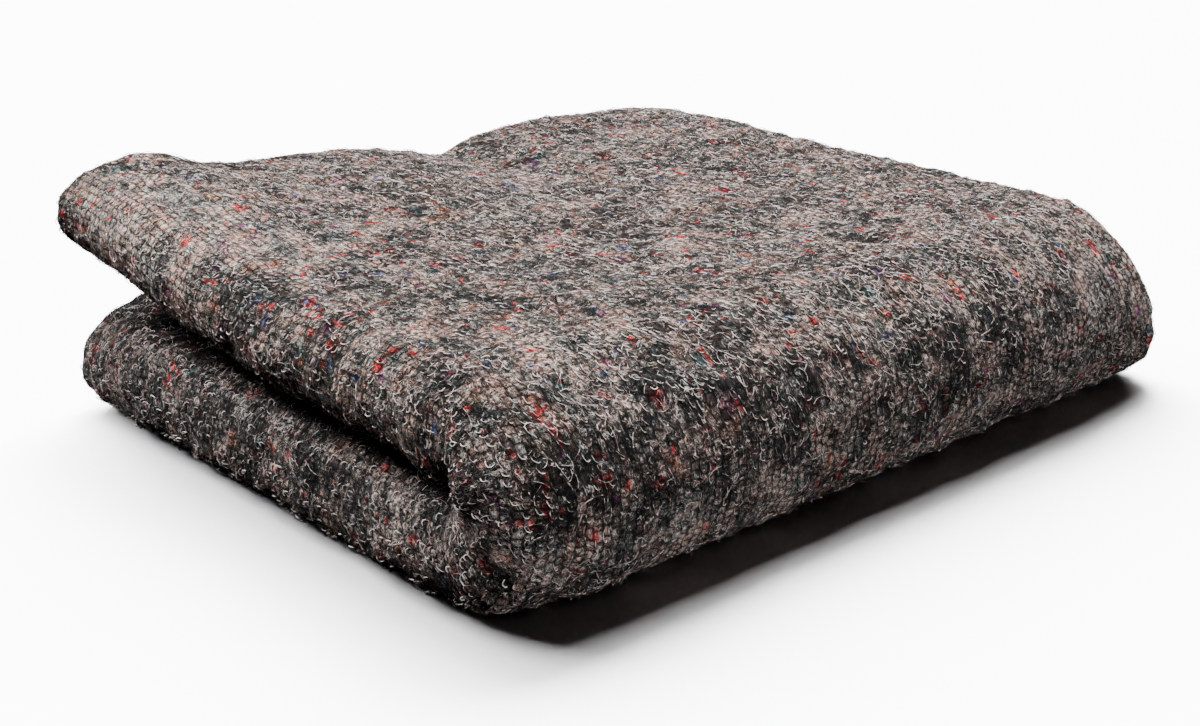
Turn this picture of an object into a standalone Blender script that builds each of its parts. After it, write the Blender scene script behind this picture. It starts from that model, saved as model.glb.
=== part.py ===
"""A moving blanket of stitch-bonded felt, folded into a pack of twenty-four layers.

The blanket is one sheet, 1.5 m by 2.0 m. It is folded in three along its length, then
in half twice across its width, then in half once more. The pack so made has one large
rounded fold at the front (-Y). Its left side (-X) shows the plump folded ends of an
upper and a lower lobe, which lie together at the front and gape at the back.

Sizes are in metres, +Z is up, and the origin is the middle of the pack's underside.
Angles are in radians.
"""

import math

import bpy
import numpy as np

# ---- the cloth ---------------------------------------------------------------------
THICKNESS = 0.0024
LAYER_GAP = 0.0008
LOBE_GAP = 0.0012
PACK_WIDTH = 0.360
PACK_DEPTH = 0.312

# ---- the stack's thickness after each folding ----------------------------------------
THIRDS_STACK = 3 * THICKNESS + 2 * LAYER_GAP
HALF_STACK = 2 * THIRDS_STACK + LAYER_GAP
LOBE_STACK = 2 * HALF_STACK + LAYER_GAP
PACK_HEIGHT = 2 * LOBE_STACK + LOBE_GAP

# ---- the height of each fold's axis above the stack it turns ---------------------------
FIRST_FLAP_AXIS = THICKNESS + LAYER_GAP / 2
SECOND_FLAP_AXIS = THIRDS_STACK / 2
RIGHT_FOLD_AXIS = THIRDS_STACK + LAYER_GAP / 2
LEFT_FOLD_AXIS = HALF_STACK + LAYER_GAP / 2
FRONT_FOLD_AXIS = LOBE_STACK + LOBE_GAP / 2

# ---- the length of cloth that each fold takes up --------------------------------------
FLAP_TURN = 0.012
RIGHT_TURN = 0.018
LEFT_TURN = 0.034
FRONT_TURN = 0.066

# ---- the fold lines in the unfolded cloth ---------------------------------------------
LEFT_LINE = LEFT_FOLD_AXIS
RIGHT_LINE = PACK_WIDTH - RIGHT_FOLD_AXIS
FRONT_LINE = FRONT_FOLD_AXIS
LOWER_BACK_LINE = PACK_DEPTH - SECOND_FLAP_AXIS
UPPER_BACK_LINE = 2 * FRONT_LINE - FRONT_TURN - LOWER_BACK_LINE

# ---- mesh rows: shares of a flat panel, and steps round each fold ----------------------
PANEL_SHARES_X = (0.0, 0.11, 0.24, 0.40, 0.54, 0.76, 1.0)
PANEL_SHARES_Y = (0.0, 0.2, 0.46, 0.74, 1.0)
FLAP_STEPS = 3
RIGHT_STEPS = 4
LEFT_STEPS = 7
FRONT_STEPS = 9

# ---- how the pack has settled --------------------------------------------------------
# The upper lobe's rise above the lower one along the left side: (depth, rise).
LOBE_RISE_BY_DEPTH = (
    (0.034, 0.0000),
    (0.070, 0.0012),
    (0.130, 0.0018),
    (0.165, 0.0038),
    (0.200, 0.0080),
    (0.240, 0.0160),
    (0.275, 0.0205),
    (0.312, 0.0222),
)
# The share of that rise that is left, from the left side to the right: (width, share).
RISE_SHARE_BY_WIDTH = (
    (0.000, 1.00),
    (0.040, 1.00),
    (0.056, 0.86),
    (0.076, 0.58),
    (0.099, 0.47),
    (0.130, 0.43),
    (0.152, 0.36),
    (0.175, 0.16),
    (0.199, 0.00),
    (0.360, 0.00),
)
# How much thicker the lower lobe is than its flat stack: (width, share of thickness).
LOWER_PLUMPNESS_BY_WIDTH = (
    (0.000, 0.115),
    (0.050, 0.095),
    (0.110, 0.020),
    (0.180, 0.000),
    (0.360, 0.000),
)
# The share of that plumpness that is left, from front to back: (depth, share).
PLUMPNESS_SHARE_BY_DEPTH = (
    (0.000, 1.00),
    (0.180, 1.00),
    (0.312, 0.20),
)
# The soft mounds and the hollow of the top along its back edge: (width, height).
TOP_SWELL_BY_WIDTH = (
    (0.000, 0.0000),
    (0.150, 0.0000),
    (0.180, -0.0010),
    (0.199, -0.0026),
    (0.218, 0.0030),
    (0.248, 0.0052),
    (0.290, 0.0042),
    (0.360, 0.0010),
)
TOP_SWELL_REACH = 0.150
RIGHT_EDGE_DROOP = 0.0015
RIGHT_EDGE_REACH = 0.080
# How far the front fold leans in or bulges out, from the ground up: (height, lean).
FRONT_LEAN_BY_HEIGHT = (
    (0.000, -0.0075),
    (0.012, -0.0045),
    (0.031, 0.0000),
    (0.045, 0.0010),
    (0.058, 0.0040),
    (0.070, 0.0090),
    (0.080, 0.0120),
)
FRONT_LEAN_REACH = 0.110
# How far the left side bulges out low down: (height, lean).
LEFT_LEAN_BY_HEIGHT = (
    (0.000, -0.0038),
    (0.008, -0.0027),
    (0.024, 0.0000),
    (0.080, 0.0000),
)
# How far the right side bulges out low down and leans in above: (height, lean).
RIGHT_LEAN_BY_HEIGHT = (
    (0.000, 0.0040),
    (0.030, 0.0015),
    (0.050, -0.0010),
    (0.080, -0.0050),
)
SIDE_LEAN_REACH = 0.070

# The four corners of the pack drawn in: the corner's place, how far along each side the
# drawing in reaches, and how far the corner moves in at the ground, across and along,
# and at the top.
CORNER_TUCKS = (
    # width, depth, reach across, reach along, low across, low along, top across, top along
    (0.0, PACK_DEPTH, 0.045, 0.070, 0.002, -0.024, 0.002, -0.013),
    (PACK_WIDTH, PACK_DEPTH, 0.050, 0.070, -0.003, -0.008, -0.003, -0.008),
    (0.0, 0.0, 0.050, 0.055, 0.002, 0.003, 0.003, 0.006),
    (PACK_WIDTH, 0.0, 0.070, 0.070, 0.003, 0.000, -0.005, 0.007),
)
FRONT_CORNER_LIFT = 0.0040
FRONT_CORNER_REACH = 0.050

# The crumpled end of the front fold: where the cloth is pushed, how far round that it
# gives way, and the push, each across, along and up.
CRUMPLES = (
    # across, along, up, reach, push across, push along, push up
    (0.006, 0.049, 0.052, 0.0110, -0.0020, 0.0000, -0.0050),
    (0.005, 0.037, 0.052, 0.0075, 0.0045, 0.0000, 0.0020),
    (0.003, 0.028, 0.044, 0.0080, -0.0045, 0.0000, 0.0000),
    (0.003, 0.026, 0.034, 0.0075, 0.0045, 0.0010, 0.0000),
    (0.004, 0.019, 0.027, 0.0095, 0.0030, 0.0020, 0.0000),
    (0.007, 0.014, 0.018, 0.0085, 0.0060, 0.0040, 0.0010),
)

# How far the middle layers of each lobe stand out past its outer ones at the back.
END_BULGE = 0.010
END_BULGE_REACH = 0.060

FELT_COLOUR = (0.145, 0.122, 0.112, 1.0)
FELT_ROUGHNESS = 0.95


def smooth_step(value):
    """0 below zero, 1 above one, and an even S between them."""
    share = np.clip(value, 0.0, 1.0)
    return share * share * (3.0 - 2.0 * share)


def curve_slopes(places, amounts):
    """A slope for each row of a table that keeps the curve from passing its rows."""
    steps = np.diff(amounts) / np.diff(places)
    before, after = steps[:-1], steps[1:]
    same_way = before * after > 0.0
    total = np.where(same_way, before + after, 1.0)
    between = np.where(same_way, 2.0 * before * after / total, 0.0)
    return np.concatenate(([0.0], between, [0.0]))


def curve_through(table, place):
    """A smooth curve through a table of (place, amount), level beyond its ends."""
    places, amounts = np.array(table).T
    slopes = curve_slopes(places, amounts)
    inside = np.clip(place, places[0], places[-1])
    row = np.clip(np.searchsorted(places, inside) - 1, 0, len(places) - 2)
    span = places[row + 1] - places[row]
    share = (inside - places[row]) / span
    rest = 1.0 - share
    held = amounts[row] * rest * rest * (1.0 + 2.0 * share)
    held = held + amounts[row + 1] * share * share * (3.0 - 2.0 * share)
    turned = slopes[row] * share * rest * rest - slopes[row + 1] * share * share * rest
    return held + turned * span


def fold_over(along, height, line, turn, axis, side):
    """Turns what lies past a fold line back over the stack, round an axis above it."""
    past = side * (along - line)
    angle = np.clip(past / turn, 0.0, 1.0) * math.pi
    beyond = np.maximum(past - turn, 0.0)
    radius = axis - height
    folded = line + side * (radius * np.sin(angle) - beyond)
    raised = axis - radius * np.cos(angle)
    return np.where(past > 0.0, folded, along), np.where(past > 0.0, raised, height)


def bulge_ends(along, height, low_end, high_end):
    """Lets the middle layers of a lobe stand out past its outer ones at both ends."""
    level = 2.0 * height / LOBE_STACK - 1.0
    reach = END_BULGE * (np.clip(1.0 - level * level, 0.0, 1.0) - 1.0)
    high = smooth_step((along - high_end) / END_BULGE_REACH + 1.0)
    low = smooth_step((low_end - along) / END_BULGE_REACH + 1.0)
    return along + reach * (high - low)


def swell_up(x, y, z):
    """Plumps the lower lobe on the left and lifts the upper lobe at the back left."""
    upper = z > LOBE_STACK + LOBE_GAP / 2
    plump = curve_through(LOWER_PLUMPNESS_BY_WIDTH, x) * np.minimum(z, LOBE_STACK)
    plump = plump * curve_through(PLUMPNESS_SHARE_BY_DEPTH, y)
    rise = curve_through(LOBE_RISE_BY_DEPTH, y) * curve_through(RISE_SHARE_BY_WIDTH, x)
    from_back = smooth_step(1.0 - (PACK_DEPTH - y) / TOP_SWELL_REACH)
    to_right = smooth_step(1.0 - (PACK_WIDTH - x) / RIGHT_EDGE_REACH)
    swell = curve_through(TOP_SWELL_BY_WIDTH, x) * from_back - RIGHT_EDGE_DROOP * to_right
    swell = swell * z / PACK_HEIGHT
    return z + plump + np.where(upper, rise, 0.0) + swell


def lean_sides(x, y, z):
    """Lets the front, left and right sides sag outwards low down and lean in above."""
    from_front = smooth_step(1.0 - y / FRONT_LEAN_REACH)
    from_left = smooth_step(1.0 - x / SIDE_LEAN_REACH)
    from_right = smooth_step(1.0 - (PACK_WIDTH - x) / SIDE_LEAN_REACH)
    lean_x = curve_through(LEFT_LEAN_BY_HEIGHT, z) * from_left
    lean_x = lean_x + curve_through(RIGHT_LEAN_BY_HEIGHT, z) * from_right
    return x + lean_x, y + curve_through(FRONT_LEAN_BY_HEIGHT, z) * from_front, z


def tuck_corners(x, y, z):
    """Draws in the pack's four corners, and lifts the near one off the ground."""
    moved_x, moved_y = x, y
    high = smooth_step(z / PACK_HEIGHT)
    for width, depth, reach_x, reach_y, low_x, low_y, high_x, high_y in CORNER_TUCKS:
        near = smooth_step(1.0 - np.abs(x - width) / reach_x)
        near = near * smooth_step(1.0 - np.abs(y - depth) / reach_y)
        moved_x = moved_x + (low_x + (high_x - low_x) * high) * near
        moved_y = moved_y + (low_y + (high_y - low_y) * high) * near
    near = smooth_step(1.0 - x / FRONT_CORNER_REACH)
    near = near * smooth_step(1.0 - y / FRONT_CORNER_REACH)
    lift = FRONT_CORNER_LIFT * near * np.clip(1.0 - z / PACK_HEIGHT, 0.0, 1.0)
    return moved_x, moved_y, z + lift


def crumple(x, y, z):
    """Pushes the end of the front fold in and out round each crumple."""
    place = np.stack((x, y, z), axis=-1)
    moved = place
    for row in CRUMPLES:
        centre, reach, push = np.array(row[:3]), row[3], np.array(row[4:])
        distance = ((place - centre) ** 2).sum(axis=-1, keepdims=True)
        moved = moved + push * np.exp(-distance / (reach * reach))
    return moved


def settle(x, y, z):
    """Takes the evenly folded pack to the shape it lies in."""
    return crumple(*tuck_corners(*lean_sides(x, y, swell_up(x, y, z))))


def folded(across, along, height):
    """The place in the pack of a point of the unfolded cloth."""
    y, z = fold_over(along, height, LOWER_BACK_LINE, FLAP_TURN, FIRST_FLAP_AXIS, 1.0)
    y, z = fold_over(y, z, UPPER_BACK_LINE, FLAP_TURN, SECOND_FLAP_AXIS, -1.0)
    x, z = fold_over(across, z, RIGHT_LINE, RIGHT_TURN, RIGHT_FOLD_AXIS, 1.0)
    x, z = fold_over(x, z, LEFT_LINE, LEFT_TURN, LEFT_FOLD_AXIS, -1.0)
    y = bulge_ends(y, z, UPPER_BACK_LINE, LOWER_BACK_LINE)
    y, z = fold_over(y, z, FRONT_LINE, FRONT_TURN, FRONT_FOLD_AXIS, -1.0)
    return settle(x, y, z)


def rows_between(start, end, shares):
    """The places at the given shares of the way from start to end."""
    return [start + (end - start) * share for share in shares]


def turn_rows(start, length, steps):
    """The places inside a fold that starts at start, without its two ends."""
    return [start + length * step / steps for step in range(1, steps)]


def rows_across():
    """Where the mesh's rows lie across the unfolded cloth, from one raw edge to the other."""
    panel = rows_between(LEFT_LINE, RIGHT_LINE, PANEL_SHARES_X)
    left_turn = turn_rows(LEFT_LINE - LEFT_TURN, LEFT_TURN, LEFT_STEPS)
    right_turn = turn_rows(RIGHT_LINE, RIGHT_TURN, RIGHT_STEPS)
    turned_panel = [2 * LEFT_LINE - LEFT_TURN - place for place in reversed(panel)]
    half = turned_panel + left_turn + panel
    other_half = [2 * RIGHT_LINE + RIGHT_TURN - place for place in reversed(half)]
    return np.array(half + right_turn + other_half)


def rows_along():
    """Where the mesh's rows lie along the unfolded cloth, from one raw edge to the other."""
    lower = rows_between(FRONT_LINE, LOWER_BACK_LINE, PANEL_SHARES_Y)
    front_turn = turn_rows(FRONT_LINE - FRONT_TURN, FRONT_TURN, FRONT_STEPS)
    upper = [2 * FRONT_LINE - FRONT_TURN - place for place in reversed(lower)]
    third = upper + front_turn + lower
    first_flap = [2 * LOWER_BACK_LINE + FLAP_TURN - place for place in reversed(third)]
    second_flap = [2 * UPPER_BACK_LINE - FLAP_TURN - place for place in reversed(third)]
    upper_turn = turn_rows(UPPER_BACK_LINE - FLAP_TURN, FLAP_TURN, FLAP_STEPS)
    lower_turn = turn_rows(LOWER_BACK_LINE, FLAP_TURN, FLAP_STEPS)
    return np.array(second_flap + upper_turn + third + lower_turn + first_flap)


def turned_over(places, low, high, fold):
    """True for each strip between rows that an odd number of folds has turned over."""
    middle = (places[1:] + places[:-1]) / 2
    flap = (middle < low) | (middle > high)
    inside = np.where(middle < low, 2 * low - middle, middle)
    inside = np.where(middle > high, 2 * high - middle, inside)
    return flap ^ (inside < fold)


def sheet_faces(across, along):
    """The triangles of a closed sheet: outer face, inner face and four raw edges.

    Each quad is cut along the diagonal that lies the same way in the pack as those of
    the layers over and under it, so that neighbouring layers stay parallel.
    """
    right_middle = RIGHT_LINE + RIGHT_TURN / 2
    lower_middle = LOWER_BACK_LINE + FLAP_TURN / 2
    upper_middle = UPPER_BACK_LINE - FLAP_TURN / 2
    left_end = LEFT_LINE - LEFT_TURN
    front_end = FRONT_LINE - FRONT_TURN
    turned = turned_over(across, -math.inf, right_middle, left_end)[:, None]
    turned = turned ^ turned_over(along, upper_middle, lower_middle, front_end)[None, :]
    outer = np.arange(len(across) * len(along)).reshape(len(across), len(along))
    inner = outer + outer.size
    faces = []
    for grid, winding in ((outer, 1), (inner, -1)):
        near, far = grid[:-1, :-1], grid[1:, 1:]
        side, other = grid[:-1, 1:], grid[1:, :-1]
        first = np.where(turned, (near, side, far), (near, side, other))
        second = np.where(turned, (near, far, other), (side, far, other))
        for triangle in (first, second):
            faces.append(triangle.reshape(3, -1).T[:, ::winding])
    rim = np.concatenate((outer[:, 0], outer[-1, 1:], outer[-2::-1, -1], outer[0, -2:0:-1]))
    ahead, under = np.roll(rim, -1), rim + outer.size
    faces.append(np.stack((rim, ahead, under), axis=-1))
    faces.append(np.stack((ahead, np.roll(under, -1), under), axis=-1))
    return np.concatenate(faces)


def felt_material():
    """Grey-brown felt, dull all over."""
    material = bpy.data.materials.new("recycled_felt")
    material.use_nodes = True
    shader = material.node_tree.nodes["Principled BSDF"]
    shader.inputs["Base Color"].default_value = FELT_COLOUR
    shader.inputs["Roughness"].default_value = FELT_ROUGHNESS
    shader.inputs["Metallic"].default_value = 0.0
    return material


def build_blanket():
    """The folded blanket as one closed solid."""
    columns, rows = rows_across(), rows_along()
    across, along = np.meshgrid(columns, rows, indexing="ij")
    outer = folded(across, along, np.zeros_like(across))
    inner = folded(across, along, np.full_like(across, THICKNESS))
    points = np.concatenate((outer.reshape(-1, 3), inner.reshape(-1, 3)))
    lowest = points.min(axis=0)
    highest = points.max(axis=0)
    points[:, :2] -= (lowest[:2] + highest[:2]) / 2
    points[:, 2] -= lowest[2]
    mesh = bpy.data.meshes.new("blanket")
    mesh.from_pydata(points.tolist(), [], sheet_faces(columns, rows).tolist())
    mesh.validate()
    mesh.shade_smooth()
    mesh.materials.append(felt_material())
    blanket = bpy.data.objects.new("blanket", mesh)
    bpy.context.scene.collection.objects.link(blanket)


def main():
    for leftover in list(bpy.data.objects):
        bpy.data.objects.remove(leftover, do_unlink=True)
    build_blanket()


main()
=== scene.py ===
"""The looks of a moving blanket of stitch-bonded felt, folded into a thick pack.

The felt, its bonding yarn and its loose fibres are all made flat, in the sizes of the
unfolded cloth. One plan then folds them together and lets the pack settle, so that each
stitch stays in its own place in the cloth.

Sizes are in metres and angles in radians, +Z is up, and the origin is the middle of the
pack's underside.
"""

from __future__ import annotations

import logging
import math
from dataclasses import dataclass
from enum import Enum
from typing import Any

import bpy
import numpy as np
from mathutils import Euler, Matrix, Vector


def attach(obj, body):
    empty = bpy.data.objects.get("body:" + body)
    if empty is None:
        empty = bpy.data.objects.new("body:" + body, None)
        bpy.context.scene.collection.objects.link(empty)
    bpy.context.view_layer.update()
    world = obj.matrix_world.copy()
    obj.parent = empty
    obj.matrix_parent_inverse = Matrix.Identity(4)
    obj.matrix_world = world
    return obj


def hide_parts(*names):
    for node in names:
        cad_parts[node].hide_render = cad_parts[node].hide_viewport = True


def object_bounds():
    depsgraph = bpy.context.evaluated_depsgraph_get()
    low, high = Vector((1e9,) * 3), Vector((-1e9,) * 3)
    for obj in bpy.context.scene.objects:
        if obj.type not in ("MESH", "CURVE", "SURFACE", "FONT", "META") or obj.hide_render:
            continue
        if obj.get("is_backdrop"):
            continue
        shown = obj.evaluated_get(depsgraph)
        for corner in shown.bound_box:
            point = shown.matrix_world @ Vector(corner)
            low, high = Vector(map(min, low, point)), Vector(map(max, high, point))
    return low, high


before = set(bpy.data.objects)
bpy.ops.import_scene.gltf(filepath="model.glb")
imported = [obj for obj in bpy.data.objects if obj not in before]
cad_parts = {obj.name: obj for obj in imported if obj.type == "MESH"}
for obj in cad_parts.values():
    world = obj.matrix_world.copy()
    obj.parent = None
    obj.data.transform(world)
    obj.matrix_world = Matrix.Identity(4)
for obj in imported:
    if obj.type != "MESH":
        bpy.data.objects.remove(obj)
cad_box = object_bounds()

LOG = logging.getLogger("moving_blanket")

Span = tuple[float, float]
Triple = tuple[float, float, float]
# The two ends of a smooth step, then what it starts from and what it goes to.
Spread = tuple[float, float, float, float]
Table = tuple[tuple[float, ...], ...]
# A colour, with its alpha, and a row of colours with each one's place.
Colour = tuple[float, float, float, float]
Stops = tuple[tuple[float, Colour], ...]
# Places across, along and up, and the same with whether each lies in the upper lobe.
Places = tuple[np.ndarray, np.ndarray, np.ndarray]
FoldedPlaces = tuple[np.ndarray, np.ndarray, np.ndarray, np.ndarray]

CLOTH_PLACE = "cloth_place"
FELT_BLEND_AND_LIGHT = "felt_blend"

# The bonding stitches' pitch, across the cloth and along it.
WALE = 0.00357
COURSE = 0.00340
FULL_TURN = math.tau
ORIGIN = (0.0, 0.0, 0.0)
# The middle of a noise's colour, and the grey that tints nothing.
MIDDLE = (0.5, 0.5, 0.5)
NEUTRAL = (0.5, 0.5, 0.5, 1.0)


# ---- soft curves ---------------------------------------------------------------------


def smooth_step(value: np.ndarray) -> np.ndarray:
    """0 below zero, 1 above one, and an even S between them."""
    share = np.clip(value, 0.0, 1.0)
    return share * share * (3.0 - 2.0 * share)


def curve_slopes(places: np.ndarray, amounts: np.ndarray) -> np.ndarray:
    """A slope for each row of a table that keeps the curve from passing its rows.

    Args:
        places: where the rows lie.
        amounts: the rows' amounts.

    Returns:
        One slope a row, level at both ends.
    """
    steps = np.diff(amounts) / np.diff(places)
    before, after = steps[:-1], steps[1:]
    same_way = before * after > 0.0
    total = np.where(same_way, before + after, 1.0)
    between = np.where(same_way, 2.0 * before * after / total, 0.0)
    return np.concatenate(([0.0], between, [0.0]))


def curve_through(table: Table, place: np.ndarray) -> np.ndarray:
    """A smooth curve through a table of (place, amount), level beyond its ends.

    Args:
        table: the rows that the curve goes through.
        place: where it is read.

    Returns:
        The curve's amount at each place.
    """
    places, amounts = np.array(table).T
    slopes = curve_slopes(places, amounts)
    inside = np.clip(place, places[0], places[-1])
    row = np.clip(np.searchsorted(places, inside) - 1, 0, len(places) - 2)
    span = places[row + 1] - places[row]
    share = (inside - places[row]) / span
    rest = 1.0 - share
    held = amounts[row] * rest * rest * (1.0 + 2.0 * share)
    held = held + amounts[row + 1] * share * share * (3.0 - 2.0 * share)
    turned = slopes[row] * share * rest * rest - slopes[row + 1] * share * share * rest
    return held + turned * span


# ---- folding the flat cloth ----------------------------------------------------------


@dataclass(frozen=True)
class FoldLine:
    """One fold: what lies past the line goes back over the stack, round an axis above it."""

    line: float
    turn: float
    axis: float
    side: float

    @property
    def end(self) -> float:
        """Where the turn of the cloth ends, past the line."""
        return self.line + self.side * self.turn

    def fold(self, along: np.ndarray, height: np.ndarray) -> tuple[np.ndarray, np.ndarray]:
        """Folds a section of the cloth.

        Args:
            along: how far along the section each point lies.
            height: each point's height in the stack so far.

        Returns:
            The same two for the folded section.
        """
        past = self.side * (along - self.line)
        angle = np.clip(past / self.turn, 0.0, 1.0) * math.pi
        beyond = np.maximum(past - self.turn, 0.0)
        radius = self.axis - height
        folded = self.line + self.side * (radius * np.sin(angle) - beyond)
        raised = self.axis - radius * np.cos(angle)
        return np.where(past > 0.0, folded, along), np.where(past > 0.0, raised, height)


@dataclass(frozen=True)
class FoldPlan:
    """How the flat cloth is folded: in three, in half twice, and in half once more."""

    thickness: float = 0.0024
    layer_gap: float = 0.0008
    lobe_gap: float = 0.0012
    # The evenly folded pack, before it settles.
    pack_width: float = 0.360
    pack_depth: float = 0.312
    # The length of flat cloth that goes into each fold's turn.
    flap_turn: float = 0.012
    right_turn: float = 0.018
    left_turn: float = 0.034
    front_turn: float = 0.066
    # How far a lobe's middle layers stand out past its outer ones, and over what depth.
    end_bulge: float = 0.010
    end_bulge_reach: float = 0.060

    @property
    def thirds_stack(self) -> float:
        """The stack's thickness once the cloth is folded in three."""
        return 3 * self.thickness + 2 * self.layer_gap

    @property
    def half_stack(self) -> float:
        """The stack's thickness after the right fold."""
        return 2 * self.thirds_stack + self.layer_gap

    @property
    def lobe_stack(self) -> float:
        """The thickness of one lobe, after the left fold."""
        return 2 * self.half_stack + self.layer_gap

    @property
    def pack_height(self) -> float:
        """The height of the whole pack, after the front fold."""
        return 2 * self.lobe_stack + self.lobe_gap

    @property
    def right(self) -> FoldLine:
        """The fold that brings the right half over the left."""
        axis = self.thirds_stack + self.layer_gap / 2
        return FoldLine(self.pack_width - axis, self.right_turn, axis, 1.0)

    @property
    def left(self) -> FoldLine:
        """The fold that brings the left quarter over the right."""
        axis = self.half_stack + self.layer_gap / 2
        return FoldLine(axis, self.left_turn, axis, -1.0)

    @property
    def front(self) -> FoldLine:
        """The last fold, large and round, which closes the two lobes together."""
        axis = self.lobe_stack + self.lobe_gap / 2
        return FoldLine(axis, self.front_turn, axis, -1.0)

    @property
    def lower_back(self) -> FoldLine:
        """The first third's fold, at the back of the lower lobe.

        Returns:
            The fold.
        """
        axis = self.thickness + self.layer_gap / 2
        line = self.pack_depth - self.thirds_stack / 2
        return FoldLine(line, self.flap_turn, axis, 1.0)

    @property
    def upper_back(self) -> FoldLine:
        """The second third's fold, at the back of the upper lobe."""
        line = 2 * self.front.line - self.front_turn - self.lower_back.line
        return FoldLine(line, self.flap_turn, self.thirds_stack / 2, -1.0)

    @property
    def far_left(self) -> float:
        """The cloth's raw edge past the left fold."""
        return 2 * self.left.line - self.left.turn - self.right.line

    def bulge_ends(self, along: np.ndarray, height: np.ndarray) -> np.ndarray:
        """Lets the middle layers of a lobe stand out past its outer ones at both ends.

        Args:
            along: how far along the cloth each point lies.
            height: each point's height in the lobe.

        Returns:
            The places along, with the bulge.
        """
        level = 2.0 * height / self.lobe_stack - 1.0
        reach = self.end_bulge * (np.clip(1.0 - level * level, 0.0, 1.0) - 1.0)
        high = smooth_step((along - self.lower_back.line) / self.end_bulge_reach + 1.0)
        low = smooth_step((self.upper_back.line - along) / self.end_bulge_reach + 1.0)
        return along + reach * (high - low)

    def fold(self, across: np.ndarray, along: np.ndarray, height: np.ndarray) -> FoldedPlaces:
        """Folds points of the flat cloth into the evenly folded pack.

        Args:
            across: each point's place across the flat cloth.
            along: its place along the cloth.
            height: its height above the cloth's outer face, towards the inside.

        Returns:
            The places across, along and up in the pack, and which lie in the upper lobe.
        """
        y, z = self.lower_back.fold(along, height)
        y, z = self.upper_back.fold(y, z)
        x, z = self.right.fold(across, z)
        x, z = self.left.fold(x, z)
        y = self.bulge_ends(y, z)
        upper = y < self.front.line - self.front.turn / 2
        y, z = self.front.fold(y, z)
        return x, y, z, upper


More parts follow.
